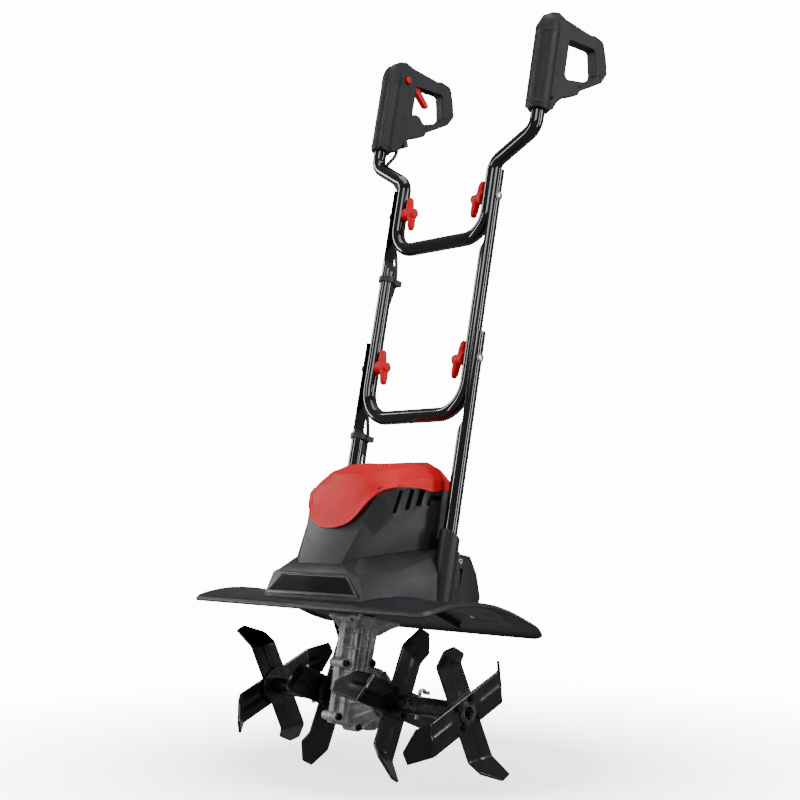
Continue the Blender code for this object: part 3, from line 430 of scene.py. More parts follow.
def guard_relief(x, y):
    """How far the guard's face is pressed down here: an oval panel in each wing, with a bead inside it."""
    across, along = (abs(x) - 185.0) / 55.0, (y + 20.0) / 88.0
    reach = (abs(across) ** 3 + abs(along) ** 3) ** (1 / 3)
    bead = math.exp(-(((reach - 0.72) / 0.06) ** 2))
    return 2.6 * (1.0 - smoothstep(0.90, 1.02, reach)) - 1.1 * bead


def build_guard(looks):
    """The guard's sheet, with a hole for the gearbox, its two ribs below and its screws."""
    bm = bmesh.new()
    turn = [1 - math.cos(math.radians(a)) for a in (10, 24, 38, 52, 66, 78, 90)]
    front = [GUARD_FRONT_Y + GUARD_FRONT_CORNER * t for t in turn]
    rear = [GUARD_REAR_Y - GUARD_REAR_CORNER * t for t in reversed(turn)]
    count = 58
    middle = [front[-1] + (rear[0] - front[-1]) * (i + 1) / (count + 1) for i in range(count)]
    across = [i / 60 for i in range(-60, 61)]
    rows = []
    stations = front + middle + rear
    for y in stations:
        half = guard_half_width(y)
        row = []
        for s in across:
            x = half * s
            edge = min(half * (1 - abs(s)), y - GUARD_FRONT_Y, GUARD_REAR_Y - y)
            drop = 4.6 * (1.0 - smoothstep(0.0, 4.5, edge))
            row.append(bm.verts.new((x, y, guard_top(y) - 1.5 - drop - guard_relief(x, y))))
        rows.append(row)
    for y, front_row, rear_row in zip(stations, rows, rows[1:]):
        for i in range(len(across) - 1):
            inside = -68 < y < 20 and abs(front_row[i].co.x) < 38
            if not inside:
                bm.faces.new((front_row[i], front_row[i + 1], rear_row[i + 1], rear_row[i]))
    guard = new_object("guard_shell", bm)
    solid = guard.modifiers.new("Thickness", "SOLIDIFY")
    solid.thickness, solid.offset = 3.0 * MM, 0.0
    dress(settle(guard), looks, "guard_plastic", "frame", ["guard"], 40.0)
    bm = bmesh.new()
    rib_x, rib_half = 96.0, 1.1
    crest = [(y, guard_top(y)) for y in range(-140, 90, 10)]
    outline = [(y, z - 3.4 - guard_relief(rib_x, y)) for y, z in crest]
    outline += [(y, z - 10.0) for y, z in reversed(crest)]
    for sign in (1, -1):
        prism(bm, outline, sign * rib_x - rib_half, sign * rib_x + rib_half)
    dress(new_object("guard_ribs", bm), looks, "guard_plastic", "frame")
    bm = bmesh.new()
    for x, y in GUARD_SCREWS:
        for sign in (1, -1):
            z = guard_top(y) - guard_relief(x, y)
            spun(bm, [(0, -5.4), (2.2, -5.4), (3.6, -4.9), (4.0, -4.2), (4.0, -2.0), (0, -2.0)],
                 (sign * x, y, z), (0, 0, 1), 20)
    dress(new_object("guard_screws", bm), looks, "bright_steel", "frame")


def guard_clearance():
    """Everything below the guard's upper face, for trimming what stands on it."""
    bm = bmesh.new()
    rows = []
    for i in range(40):
        y = -182.0 + 8.3 * i
        top = guard_top(min(max(y, GUARD_FRONT_Y), GUARD_REAR_Y)) + GAP
        rows.append([(-300.0, y, 60.0), (300.0, y, 60.0), (300.0, y, top), (-300.0, y, top)])
    loft(bm, rows)
    return new_object("guard_clearance", bm)


# ---------------------------------------------------------------- housing

# Half rings from the middle plane in front to the middle plane behind, lowest ring first.
BASE_RINGS = [
    [(0, -131, 112), (90, -131, 112), (112, -129, 112), (122, -90, 112), (126, 0, 112),
     (126, 42, 112), (0, 42, 112)],
    [(0, -132, 131), (90, -132, 131), (111, -130, 131), (121, -84, 143), (126, 0, 150),
     (126, 42, 152), (0, 42, 152)],
    [(0, -134, 161), (78, -134, 161), (99, -130.5, 161.5), (117, -74, 165), (122, 10, 195),
     (122, 42, 197), (0, 42, 197)],
    [(0, -135, 164), (76, -135, 165), (97, -129, 165), (112, -75, 179), (110, 3.5, 217),
     (110, 42, 219), (0, 42, 219)],
    [(0, -134, 167), (76, -134, 167), (86, -130, 168), (100, -62, 196), (107, 3.5, 220),
     (107, 42, 222), (0, 42, 222)],
    [(0, -127, 178), (47.7, -126, 178), (70, -113, 190), (83, -80, 202), (95, 5, 226),
     (95, 42, 229), (0, 42, 229)],
]
HOOD_RINGS = [
    [(0, -127, 178.4), (47.7, -126, 178.4), (70, -113, 190.4), (83, -80, 202.4), (95, 5, 226.4),
     (95, 38, 228.4), (0, 38, 228.4)],
    [(0, -117, 238), (63, -110, 241), (77, -97, 226), (87, -64, 234), (95, 0, 262),
     (95, 34, 262), (0, 34, 262)],
    [(0, -110, 281), (75, -101, 284), (86, -75, 257), (90, -49, 265), (94, 0, 290),
     (94, 30, 290), (0, 32, 290)],
    [(0, -106, 300), (76, -98, 300), (92, -78, 303), (93, -50, 309), (94, 0, 313),
     (94, 30, 320), (0, 36, 320)],
]
COVER_RINGS = [
    [(0, -120, 230.5), (33, -119, 236), (49, -117, 247), (62, -114, 266), (77, -104, 291.5), (92, -82, 300),
     (95, -34, 309), (96, -12, 305.5), (96, 3, 314), (95, 17, 315.5), (84, 40, 316), (0, 44, 316)],
    [(0, -108, 294), (38, -107, 296), (53, -105, 298), (64, -99, 303), (75, -89, 308), (87, -72, 313),
     (94, -34, 324), (94, -12, 326), (94, 3, 328), (93, 17, 330), (80, 41, 330), (0, 46, 330)],
    [(0, -101, 318), (30, -98, 318), (43, -94, 320), (53, -87, 323), (62, -78, 327), (71, -64, 331),
     (80, -34, 340), (81, -12, 345), (80, 2, 348), (77, 16, 347), (64, 38, 343), (0, 46, 352)],
    [(0, -84, 334), (22, -80, 335), (32, -74, 337), (40, -66, 339), (46, -58, 341), (52, -48, 343),
     (58, -28, 349), (58, -8, 353), (56, 4, 357), (52, 15, 357), (42, 32, 352), (0, 38, 366)],
    [(0, -62, 342.5), (12, -60, 342.5), (18, -54, 343), (22, -48, 344), (26, -40, 345.5), (29, -32, 347),
     (32, -18, 350.5), (32, -4, 354), (31, 6, 358), (29, 14, 360), (24, 24, 362), (0, 28, 364)],
]
COVER_CREASES = (1.0, 0.85, 0.72, 0.60)  # round each ring, from the rim up
COVER_RIDGES = (3, 5, 8, 10)  # ring points whose risers are creased too
COVER_RIDGE_CREASE = 0.75
VENTS = [(-78, -71, 262, 297), (-57.6, -49.8, 271, 303), (-38.7, -28.6, 281, 308)]


def above_rim():
    """Cutter for all that the red cover hides: the space over its rim, closed below by a cone to the middle."""
    bm = bmesh.new()
    rim = mirrored(COVER_RINGS[0])
    low = [(x * 1.12, y * 1.12, z + 2.5) for x, y, z in rim]
    high = [(x * 1.12, y * 1.12, 420.0) for x, y, z in rim]
    rows = loft(bm, [low, high], caps=False)
    bm.faces.new(rows[1])
    middle = bm.verts.new((0, -30, 300))
    for i, corner in enumerate(rows[0]):
        bm.faces.new((rows[0][(i + 1) % len(rim)], corner, middle))
    return new_object("cover_room", bm)


def build_housing(looks):
    """The base, the vented hood, the tube sockets and the rear box."""
    trim = guard_clearance()
    bm = bmesh.new()
    loft(bm, [mirrored(ring) for ring in BASE_RINGS])
    base = new_object("base_shell", bm)
    cut(base, trim)
    bevel(base, 1.5, 3, 14.0)
    dress(settle(base), looks, "dark_plastic", "frame", ["base_housing"])
    bm = bmesh.new()
    loft(bm, [mirrored(ring) for ring in HOOD_RINGS])
    hood = new_object("hood_shell", bm)
    cutters = []
    for sign in (1, -1):
        for low_y, high_y, low_z, high_z in VENTS:
            bm = bmesh.new()
            lean = 0.10 * (high_z - low_z)
            outline = [(low_y, low_z), (high_y, low_z + 2), (high_y + lean, high_z), (low_y + lean, high_z)]
            prism(bm, outline, *sorted((sign * 80.0, sign * 112.0)))
            cutters.append(new_object("vent_cutter", bm))
        bm = bmesh.new()
        outline = [(-19, 286), (-13, 286), (-11, 294), (7.7, 299), (7.7, 305), (-15, 301)]
        prism(bm, outline, *sorted((sign * 84.0, sign * 112.0)))
        cutters.append(new_object("vent_cutter", bm))
    cutters.append(above_rim())
    cut(hood, *cutters)
    bevel(hood, 1.1, 3, 12.0)
    dress(settle(hood, *cutters), looks, "dark_plastic", "frame", ["motor_hood"])
    build_sockets(looks, trim)
    bm = bmesh.new()
    front = 42.35
    halves = [
        [(0, front, 112), (105, front, 112), (104, 99, 112), (0, 99, 112)],
        [(0, front, 172), (105, front, 172), (102, 109, 172), (0, 110, 172)],
        [(0, front, 205), (104, front, 205), (99, 98, 205), (0, 99, 205)],
        [(0, front, 227), (103, front, 227), (95, 83, 229), (0, 84, 231)],
    ]
    loft(bm, [mirrored(ring) for ring in halves])
    rear = new_object("rear_box_shell", bm)
    cut(rear, trim)
    bevel(rear, 3.0, 4, 22.0)
    dress(settle(rear, trim), looks, "dark_plastic", "frame", ["rear_box"])


def build_sockets(looks, trim):
    """A collar round each lower tube, its web to the housing, and a silver screw in the web."""
    screws = bmesh.new()
    for side, sign in (("left", 1), ("right", -1)):
        bm = bmesh.new()
        rings = []
        for radius, height in ((15.8, None), (15.8, 0.0), (13.6, 0.9)):
            ring = []
            for i in range(40):
                a = 2 * math.pi * i / 40
                y = TUBE_Y + radius * math.sin(a)
                top = 120.0 if height is None else 248.0 - 0.45 * (y - TUBE_Y) + height
                ring.append((sign * LOWER_TUBE_X + radius * math.cos(a), y, top))
            rings.append(ring)
        loft(bm, rings)
        web = [(8, 120), (44, 120), (44, 214), (32, 226), (14, 238), (8, 238)]
        prism(bm, web, *sorted((sign * 96.0, sign * 124.0)))
        collar = new_object(f"socket_{side}", bm)
        moulded(collar, 1.1, 3)
        settle(collar)
        slot = bmesh.new()
        box(slot, (min(sign * 118, sign * 132), 36.5, 158), (max(sign * 118, sign * 132), 42.0, 204))
        slot = new_object("slot_cutter", slot)
        cut(collar, trim, slot)
        dress(settle(collar, slot), looks, "dark_plastic", "frame")
        spun(screws, [(0, -6), (4.2, -6), (4.4, 0.4), (3.4, 1.2), (1.8, 1.2), (1.6, -0.6), (0, -0.6)],
             (sign * 124.0, 35, 214), (sign, 0, 0), 24)
    dress(new_object("socket_screws", screws), looks, "bright_steel", "frame")


def build_front_panel(looks):
    """A blank gloss plate with a pale rim, on the front of the base."""
    corners = [(-97, 136), (97, 136), (71.5, 160), (-71.5, 160)]
    rim = [(-105, 131.6), (105, 131.6), (75.5, 162.4), (-75.5, 162.4)]

    def ring(points, y):
        return [(x, y, z) for x, z in points]

    bm = bmesh.new()
    inner = [(x * 0.985, 148 + (z - 148) * 0.94) for x, z in corners]
    loft(bm, [ring(corners, -131.9), ring(corners, -134.3), ring(inner, -134.9)])
    plate = new_object("badge_plate", bm)
    bevel(plate, 0.5, 2, 25.0)
    dress(settle(plate), looks, "gloss_panel", "frame", ["front_panel"])
    bm = bmesh.new()
    around = [[bm.verts.new(p) for p in ring(points, y)]
              for points, y in ((rim, -131.5), (rim, -134.4), (corners, -134.4), (corners, -131.5))]
    for first, second in zip(around, around[1:] + around[:1]):
        for i in range(4):
            j = (i + 1) % 4
            bm.faces.new((first[i], first[j], second[j], second[i]))
    edge = new_object("badge_rim", bm)
    bevel(edge, 0.5, 2, 30.0)
    dress(settle(edge), looks, "rim_plastic", "frame")


def build_cover(looks):
    """The red cover: a subdivided cage whose creases keep its rim and ridges crisp."""
    bm = bmesh.new()
    rows = loft(bm, [mirrored(ring) for ring in COVER_RINGS], caps=False)
    last, count = rows[-1], len(rows[-1])
    for i in range(count // 2):
        left = (last[i], last[i + 1])
        right = (last[-i - 1], last[(-i) % count])
        face = list(dict.fromkeys([left[0], left[1], right[0], right[1]]))
        if len(face) > 2:
            bm.faces.new(face)
    crease = bm.edges.layers.float.new("crease_edge")
    for level, row in enumerate(rows[:4]):
        for i in range(count):
            edge = bm.edges.get((row[i], row[(i + 1) % count]))
            edge[crease] = COVER_CREASES[level]
    for first, second in zip(rows, rows[1:]):
        for i in range(count):
            if min(i, count - i) in COVER_RIDGES:
                bm.edges.get((first[i], second[i]))[crease] = COVER_RIDGE_CREASE
    cover = new_object("cover_shell", bm)
    fine = cover.modifiers.new("Smooth", "SUBSURF")
    fine.levels = fine.render_levels = 3
    solid = cover.modifiers.new("Thickness", "SOLIDIFY")
    solid.thickness, solid.offset = 2.5 * MM, -1.0
    dress(settle(cover), looks, "red_plastic", "frame", ["top_cover"], 50.0)


# ---------------------------------------------------------------- gearbox

SEAM_SCREWS = [(-59, 110), (-60, 44.5), (-59, -32), (-17, -43), (-9, 51)]


def build_gearbox(looks):
    """Two ribbed castings that meet on the middle plane, and the screws along their seam."""
    screws = bmesh.new()
    for side, sign in (("left", 1), ("right", -1)):
        bm = bmesh.new()
        seam = sign * 0.2

        def slab(outline, width):
            prism(bm, outline, *sorted((seam, sign * width)))

        slab([(-51, -38), (-22, -38), (-18, 30), (-8, 60), (-6, 108), (-54, 108), (-53, 20)], 15.5)
        slab([(-61, -42), (-14, -46), (-8, 40), (-2, 60), (0, 112), (-63, 112), (-63, 34)], 5.0)
        bar(bm, (seam, -36, -40), (seam, -36, 112), 18.0)
        bar(bm, (seam, 0, 0), (sign * 19, 0, 0), 46.0, None, 2.5, 56)
        bar(bm, (sign * 12, 0, 0), (sign * 44, 0, 0), 45.5, 25.0, 1.0, 56)
        bar(bm, (sign * 30, 0, 0), (sign * 47, 0, 0), 20.0)
        flange = ((92, 15, 54, -2), (104, 26, 60, 10), (110, 34, 64, 18), (116, 34, 64, 18))
        loft(bm, [[(x, y, z) for x, y in ((seam, -y0), (sign * w, -y0), (sign * w, y1), (seam, y1))]
                  for z, w, y0, y1 in flange])
        for y in (-50, -42, -30, -22):
            box(bm, (min(seam, sign * 21), y - 1.1, 4), (max(seam, sign * 21), y + 1.1, 106))
        for z in (34, 68, 92):
            box(bm, (min(seam, sign * 20), -55, z - 1.2), (max(seam, sign * 20), -10, z + 1.2))
        for i in range(12):
            a = 2 * math.pi * i / 12 + 0.2
            y, z = math.cos(a), math.sin(a)
            rib = [(sign * 17.5, 44), (sign * 42, 24), (sign * 46, 24), (sign * 22, 46)]
            lay = Vector((0, -z, y)) * 1.2
            loft(bm, [[Vector((x, y * r, z * r)) + lay * k for x, r in rib] for k in (-1, 1)])
        for y, z in SEAM_SCREWS:
            bar(bm, (seam, y, z), (sign * 15, y, z), 7.0)
            if sign > 0:
                head = [(0, 12), (5.0, 12), (5.0, 19.0), (4.2, 19.8), (2.6, 19.8), (2.4, 16.5), (0, 16.5)]
                spun(screws, head, (0, y, z), (1, 0, 0), 24)
        half = new_object(f"gearbox_casting_{side}", bm)
        moulded(half, 1.2, 2)
        dress(settle(half), looks, "cast_aluminium", "frame", [f"gearbox_{side}_half"], 0)
    dress(new_object("gearbox_screws", screws), looks, "blackened_screw", "frame")


# ---------------------------------------------------------------- tines


def blade_point(s, n, outward):
    """Where a point of the flat strip goes once its end is folded along the slanting crease."""
    near = Vector((66.0, -21.5))
    along = Vector((15.0, 43.0)).normalized()
    away = Vector((along.y, -along.x))
    here = Vector((s, n)) - near
    distance, run = here.dot(away), here.dot(along)
    bend, radius = math.radians(45.0), 6.0
    start = distance + radius * math.tan(bend / 2)
    if start <= 0:
        return Vector((0.0, s, n))
    turned = min(start / radius, bend)
    beyond = max(0.0, start - radius * bend)
    forward = radius * math.sin(turned) + beyond * math.cos(turned) - radius * math.tan(bend / 2)
    aside = radius * (1 - math.cos(turned)) + beyond * math.sin(turned)
    flat = near + along * run + away * forward
    return Vector((outward * aside, flat.x, flat.y))


def between(path, distance):
    """The point of a path, given as (distance, point) pairs, at a distance."""
    for (d0, p0), (d1, p1) in zip(path, path[1:]):
        if distance <= d1:
            return Vector(p0).lerp(Vector(p1), (distance - d0) / (d1 - d0))
    return Vector(path[-1][1])


def strip_rows():
    """Rows across half a strip, from its middle to its point, each a pair of (s, n) ends."""
    rows = []
    for share in [i / 26 for i in range(27)]:
        rows.append(((66.0 * share, -21.5), (81.0 * share, 21.5)))
    lower = [(0, (66, -21.5)), (20.77, (88, -21.5)), (40.13, (116, 0))]
    upper = [(0, (81, 21.5)), (34.36, (116, 17.5)), (40.13, (116, 0))]
    for distance in (0.8, 1.6, 2.4, 3.2, 6, 10, 14, 17.5, 20.77, 24, 28, 31.5, 34.36, 37, 39.4):
        rows.append((tuple(between(lower, distance)), tuple(between(upper, distance))))
    return rows


def build_strip(looks, name, x, angle, outward):
    """One pressed strip of a star, both its ends folded the same way."""
    bm = bmesh.new()
    columns = 17
    place = Matrix.Translation((x, 0, 0)) @ Matrix.Rotation(math.radians(angle), 4, "X")
    for half in (0.0, math.pi):
        spin = place @ Matrix.Rotation(half, 4, "X")
        rows = []
        for (s0, n0), (s1, n1) in strip_rows():
            row = []
            for i in range(columns):
                share = i / (columns - 1)
                s, n = s0 + (s1 - s0) * share, n0 + (n1 - n0) * share
                bead = math.exp(-((n / 3.2) ** 2)) * smoothstep(25, 34, s) * (1 - smoothstep(84, 98, s))
                raised = Vector((-outward * 0.9 * bead, 0, 0))
                row.append(bm.verts.new(spin @ (blade_point(s, n, outward) + raised)))
            rows.append(row)
        for first, second in zip(rows, rows[1:]):
            for i in range(columns - 1):
                bm.faces.new((first[i], first[i + 1], second[i + 1], second[i]))
    bmesh.ops.remove_doubles(bm, verts=bm.verts, dist=0.01)
    eye = [f for f in bm.faces if math.hypot(f.calc_center_median().y, f.calc_center_median().z) < 11.4]
    bmesh.ops.delete(bm, geom=eye, context="FACES")
    strip = new_object(name + "_steel", bm)
    solid = strip.modifiers.new("Thickness", "SOLIDIFY")
    solid.thickness, solid.offset, solid.use_even_offset = 4.0 * MM, 0.0, True
    bevel(strip, 0.7, 2, 50.0)
    dress(settle(strip), looks, "tine_paint", "tine_shaft", [name], 45.0)


def build_tines(looks):
    """Four stars of two strips, their bolts, and the turned rings at the outer hubs' ends."""
    bolts, rings = bmesh.new(), bmesh.new()
    wall = [(10.0, 203), (15.6, 203), (15.6, 216.4), (15.0, 216.9), (13.9, 216.9), (13.7, 216.4),
            (13.7, 217.2), (10.6, 217.2), (10.0, 216.6)]
    head = [(0, -2), (5.6, -2), (5.6, 2.2), (4.9, 3.0), (0, 3.0)]
    thread = [(0, 0), (3.0, 0), (3.0, 4.6), (2.4, 5.2), (0, 5.2)]
    for side, sign in (("left", 1), ("right", -1)):
        for star, centre, angle in (("outer", OUTER_STAR_X, 36.0), ("inner", INNER_STAR_X, 169.0)):
            name = f"{star}_tine_{side}"
            build_strip(looks, name + "_front", sign * (centre + STAR_SPREAD), angle, -sign)
            build_strip(looks, name + "_back", sign * (centre - STAR_SPREAD), angle + 90.0, sign)
            for i in range(4):
                a = math.radians(angle + 45 + 90 * i)
                y, z = 20.5 * math.cos(a), 20.5 * math.sin(a)
                face = sign * (centre + 4.3)
                spun(bolts, head, (face, y, z), (sign, 0, 0), 6)
                spun(bolts, thread, (face, y, z), (sign, 0, 0), 16)
        around = []
        for k in range(40):
            a = 2 * math.pi * k / 40
            around.append([(sign * h, r * math.cos(a), r * math.sin(a)) for r, h in wall])
        loft(rings, around + around[:1], caps=False)
    bmesh.ops.remove_doubles(rings, verts=rings.verts, dist=0.001)
    dress(new_object("hub_end_rings", rings), looks, "tine_paint", "tine_shaft")
    dress(new_object("star_bolts", bolts), looks, "blackened_screw", "tine_shaft")


# ---------------------------------------------------------------- handle


def arc_path(corners, radii, steps=14):
    """A path through corners, each turned with a true arc."""
    points = [Vector(c) for c in corners]
    path = [points[0]]
    for before, at, after, radius in zip(points, points[1:], points[2:], radii):
        back, ahead = (before - at).normalized(), (after - at).normalized()
        half = back.angle(ahead) / 2
        centre = at + (back + ahead).normalized() * (radius / math.sin(half))
        first = at + back * (radius / math.tan(half)) - centre
        last = at + ahead * (radius / math.tan(half)) - centre
        sweep = first.angle(last)
        for k in range(steps + 1):
            t = k / steps
            turned = first * math.sin((1 - t) * sweep) + last * math.sin(t * sweep)
            path.append(centre + turned / math.sin(sweep))
    return path + [points[-1]]


def sweep_along(bm, path, radius, sides=40):
    """A round bar along a path, its rings carried round each turn without twist."""
    path = [Vector(p) for p in path]
    side = (path[1] - path[0]).orthogonal().normalized()
    rings = []
    for i, here in enumerate(path):
        ahead = (path[min(i + 1, len(path) - 1)] - path[max(i - 1, 0)]).normalized()
        side = (side - ahead * side.dot(ahead)).normalized()
        other = ahead.cross(side)
        rings.append([here + (side * math.cos(a) + other * math.sin(a)) * radius
                      for a in [2 * math.pi * k / sides for k in range(sides)]])
    loft(bm, rings)


def flat_cutter(sign, outer_x, start_z):
    """Flattens the inboard side of a tube's upper end, with a sloping run-out below it."""
    face, far_x = outer_x - 9.0 + TUBE_RADIUS + GAP, outer_x - 30.0
    stations = ((outer_x - 13.0, start_z - 22.0), (face, start_z), (face, start_z + 160.0))
    bm = bmesh.new()
    loft(bm, [[(sign * x, TUBE_Y + y, z)
               for x, y in ((far_x, -20), (inboard, -20), (inboard, 20), (far_x, 20))]
              for inboard, z in stations])
    return new_object("flat_cutter", bm)


def build_tubes(looks):
    """The two straight lower tubes, the middle bar and the swan-necked upper bar."""
    for side, sign in (("left", 1), ("right", -1)):
        bm = bmesh.new()
        x = sign * LOWER_TUBE_X
        bar(bm, (x, TUBE_Y, 166), (x, TUBE_Y, 558), TUBE_RADIUS, None, 0.6, 40)
        tube = new_object(f"lower_tube_{side}_drawn", bm)
        cutter = flat_cutter(sign, LOWER_TUBE_X, 416.0)
        cut(tube, cutter)
        dress(settle(tube, cutter), looks, "tube_paint", "frame", [f"lower_tube_{side}"])
    for name, half, radii, body in (
            ("middle_bar", [(MIDDLE_LEG_X, TUBE_Y, z) for z in (819, 432)], [50, 50], "middle_handle"),
            ("upper_bar", [(SLEEVE_X, TUBE_Y, 1058), (SLEEVE_X, TUBE_Y, 875),
                           (UPPER_LEG_X, TUBE_Y, 832), (UPPER_LEG_X, TUBE_Y, 713)],
             [26, 26, 40, 40, 26, 26], "upper_handle")):
        bm = bmesh.new()
        corners = half + [(-x, y, z) for x, y, z in reversed(half)]
        sweep_along(bm, arc_path(corners, radii), TUBE_RADIUS)
        tube = new_object(name + "_drawn", bm)
        cutters = [flat_cutter(sign, MIDDLE_LEG_X, 698.0) for sign in (1, -1)] if name == "middle_bar" else []
        cut(tube, *cutters)
        dress(settle(tube, *cutters), looks, "tube_paint", body, [name])


def curved(points, steps=8):
    """A smooth curve through points."""
    knots = [Vector(p) for p in points]
    ends = [2 * knots[0] - knots[1]] + knots + [2 * knots[-1] - knots[-2]]
    path = []
    for a, b, c, d in zip(ends, ends[1:], ends[2:], ends[3:]):
        for k in range(steps):
            t = k / steps
            path.append(0.5 * ((2 * b) + (c - a) * t + (2 * a - 5 * b + 4 * c - d) * t**2
                               + (3 * b - a - 3 * c + d) * t**3))
    return path + [knots[-1]]


def build_lead(looks):
    """The lead's top run, which enters the right grip from below."""
    route = [(-173.5, 40, 926), (-173.5, 41, 912), (-175, 36, 899), (-178, 29, 886), (-174, 27, 868),
             (-150, 27, 848), (-131, 26, 826), (-125, 25, 800), (-125, 24, 780)]
    bm = bmesh.new()
    sweep_along(bm, curved(route), 3.0, 20)
    dress(new_object("lead_upper_run", bm), looks, "black_rubber", "upper_handle", ["lead_upper"])


def build_wing_nuts(looks):
    """Four plastic nuts, each a boss with two leaning wings."""
    wing = ((0, 6.5, 7.0), (10, 6.2, 7.2), (20, 5.8, 6.9), (26, 4.8, 5.6), (29, 3.0, 3.6))
    for level, leg_x, z in (("lower", MIDDLE_LEG_X, 516.5), ("upper", UPPER_LEG_X, 776.0)):
        for side, sign in (("left", 1), ("right", -1)):
            start = leg_x - 11.35
            bm = bmesh.new()
            bar(bm, (sign * start, 11, z), (sign * (start - 24), 11, z), 9.6, 8.4, 1.6)
            bar(bm, (sign * start, 11, z), (sign * (start - 4), 11, z), 10.6, None, 1.0)
            for up in (1, -1):
                rings = []
                for reach, half_x, half_y in wing:
                    x = start - 13 + 3 * up + 2.5 * up * reach / 27.5
                    rings.append([(sign * x + half_x * math.cos(a), 11 + half_y * math.sin(a), z + up * reach)
                                  for a in [2 * math.pi * i / 20 for i in range(20)]])
                loft(bm, rings)
            nut = new_object(f"{level}_wing_nut_{side}_moulding", bm)
            moulded(nut, 0.8, 3)
            node, body = f"{level}_wing_nut_{side}", f"{level}_nut_{side}"
            dress(settle(nut), looks, "red_plastic", body, [node], 0)


GRIP_OUTLINE = [(-4, 906), (-4, 1042), (9, 1067), (26, 1073), (42, 1069), (103, 1069), (112, 1072.5),
                (134, 1071), (145, 1046), (152, 1022), (141, 1002), (116, 984), (94, 969), (90, 960),
                (58, 943), (46, 930), (40, 917), (30, 908)]
GRIP_RADII = [2, 14, 8, 8, 8, 8, 6, 9, 20, 7, 10, 20, 5, 6, 6, 6, 4, 2]
GRIP_SCREWS = [(12, 1034), (36, 975), (91, 976), (134, 1062), (134, 1012), (21, 926)]


def grip_opening(side):
    """The outline of the hand hole, which the cord hook cuts into on the right."""
    corners = [(56, 1040), (118, 1049), (128, 1009), (120, 998), (96, 986), (62, 976), (56, 980)]
    radii = [5, 7, 8, 6, 12, 3, 3]
    if side == "right":
        corners[5:] = [(84, 981), (72, 991), (62, 991), (56, 986)]
        radii[5:] = [4, 3, 3, 2]
    return rounded(corners, radii)


def build_grips(looks):
    """Each grip is moulded in one skin, then parted on its seam into the two halves."""
    screws = bmesh.new()
    head = [(0, -3), (3.1, -3), (3.1, 0.2), (2.5, 0.7), (1.4, 0.7), (1.2, -1.2), (0, -1.2)]
    for side, sign in (("left", 1), ("right", -1)):
        loop_x = sign * LOOP_X
        bm = bmesh.new()
        prism(bm, rounded(GRIP_OUTLINE, GRIP_RADII), loop_x - 10, loop_x + 10)
        grip = new_object(f"{side}_grip", bm)
        bm = bmesh.new()
        prism(bm, grip_opening(side), loop_x - 20, loop_x + 20)
        tools = [new_object("opening_cutter", bm)]
        if side == "right":
            bm = bmesh.new()
            box(bm, (loop_x - 5.9, 47, 1024), (loop_x + 5.9, 106, 1056.5))
            tools.append(new_object("trigger_slot_cutter", bm))
            bm = bmesh.new()
            bar(bm, (loop_x + 1, 33, 1042), (loop_x + 30, 33, 1042), 6.6)
            tools.append(new_object("button_cutter", bm))
        cut(grip, *tools)
        settle(grip, *tools)
        bm = bmesh.new()
        bm.from_mesh(grip.data)
        bm.transform(TO_FRAME.inverted())
        spun(bm, [(0, 903), (15.4, 903), (17, 905), (17, 1026), (17.4, 1030), (17.4, 1040), (15.5, 1050),
                  (11, 1058), (5, 1062), (0, 1063)], (sign * SLEEVE_X, TUBE_Y, 0), (0, 0, 1), 48)
        for z in (912, 1031):
            spun(bm, [(0, z - 1.6), (17.9, z - 1.6), (18.3, z), (17.9, z + 1.6), (0, z + 1.6)],
                 (sign * SLEEVE_X, TUBE_Y, 0), (0, 0, 1), 48)
        body = new_object(f"{side}_grip_body", bm)
        moulded(body, 1.0, 7)
        settle(body)
        old = grip.data
        bpy.data.objects.remove(grip)
        bpy.data.meshes.remove(old)
        for label, way in (("inner", -sign), ("outer", sign)):
            part = bmesh.new()
            part.from_mesh(body.data)
            part.transform(TO_FRAME.inverted())
            geometry = part.verts[:] + part.edges[:] + part.faces[:]
            plane = (loop_x + way * 0.2, 0, 0)
            found = bmesh.ops.bisect_plane(part, geom=geometry, plane_co=plane, plane_no=(-way, 0, 0),
                                           clear_outer=True)
            rim = [e for e in found["geom_cut"] if isinstance(e, bmesh.types.BMEdge)]
            bmesh.ops.triangle_fill(part, edges=rim, use_beauty=True)
            name = f"{side}_grip_{label}_half"
            dress(new_object(name + "_moulding", part), looks, "grip_plastic", "upper_handle", [name], 50.0)
        data = body.data
        bpy.data.objects.remove(body)
        bpy.data.meshes.remove(data)
        for y, z in GRIP_SCREWS:
            for way in (1, -1) if y > 30 else (sign,):
                reach = 9.6 if y > 30 else 21.6
                spun(screws, head, (loop_x + way * reach, y, z), (way, 0, 0), 20)
    dress(new_object("grip_screws", screws), looks, "blackened_screw", "upper_handle")


def build_switch(looks):
    """The trigger and the lock button, both on the right grip."""
    corners = [(52, 1046), (58, 1051), (65, 1046), (73, 1037), (93, 1021), (93, 1015), (86, 1013.5),
               (61, 1031), (53, 1040)]
    bm = bmesh.new()
    prism(bm, rounded(corners, [4, 3, 4, 8, 3, 3, 5, 12, 4], 4), -178.4, -168.6)
    trigger = new_object("trigger_lever_moulding", bm)
    bevel(trigger, 1.6, 3, 40.0)
    dress(settle(trigger), looks, "red_plastic", "trigger_lever", ["trigger"])
    bm = bmesh.new()
    spun(bm, [(0, 6.5), (6.0, 6.5), (6.0, 12.2), (5.5, 13.4), (4.2, 14.1), (2.0, 14.4), (0, 14.4)],
         (-LOOP_X, 33, 1042), (1, 0, 0), 32)
    dress(new_object("lock_button_moulding", bm), looks, "red_plastic", "lock_button_slider", ["lock_button"])


# ---------------------------------------------------------------- camera, light and floor


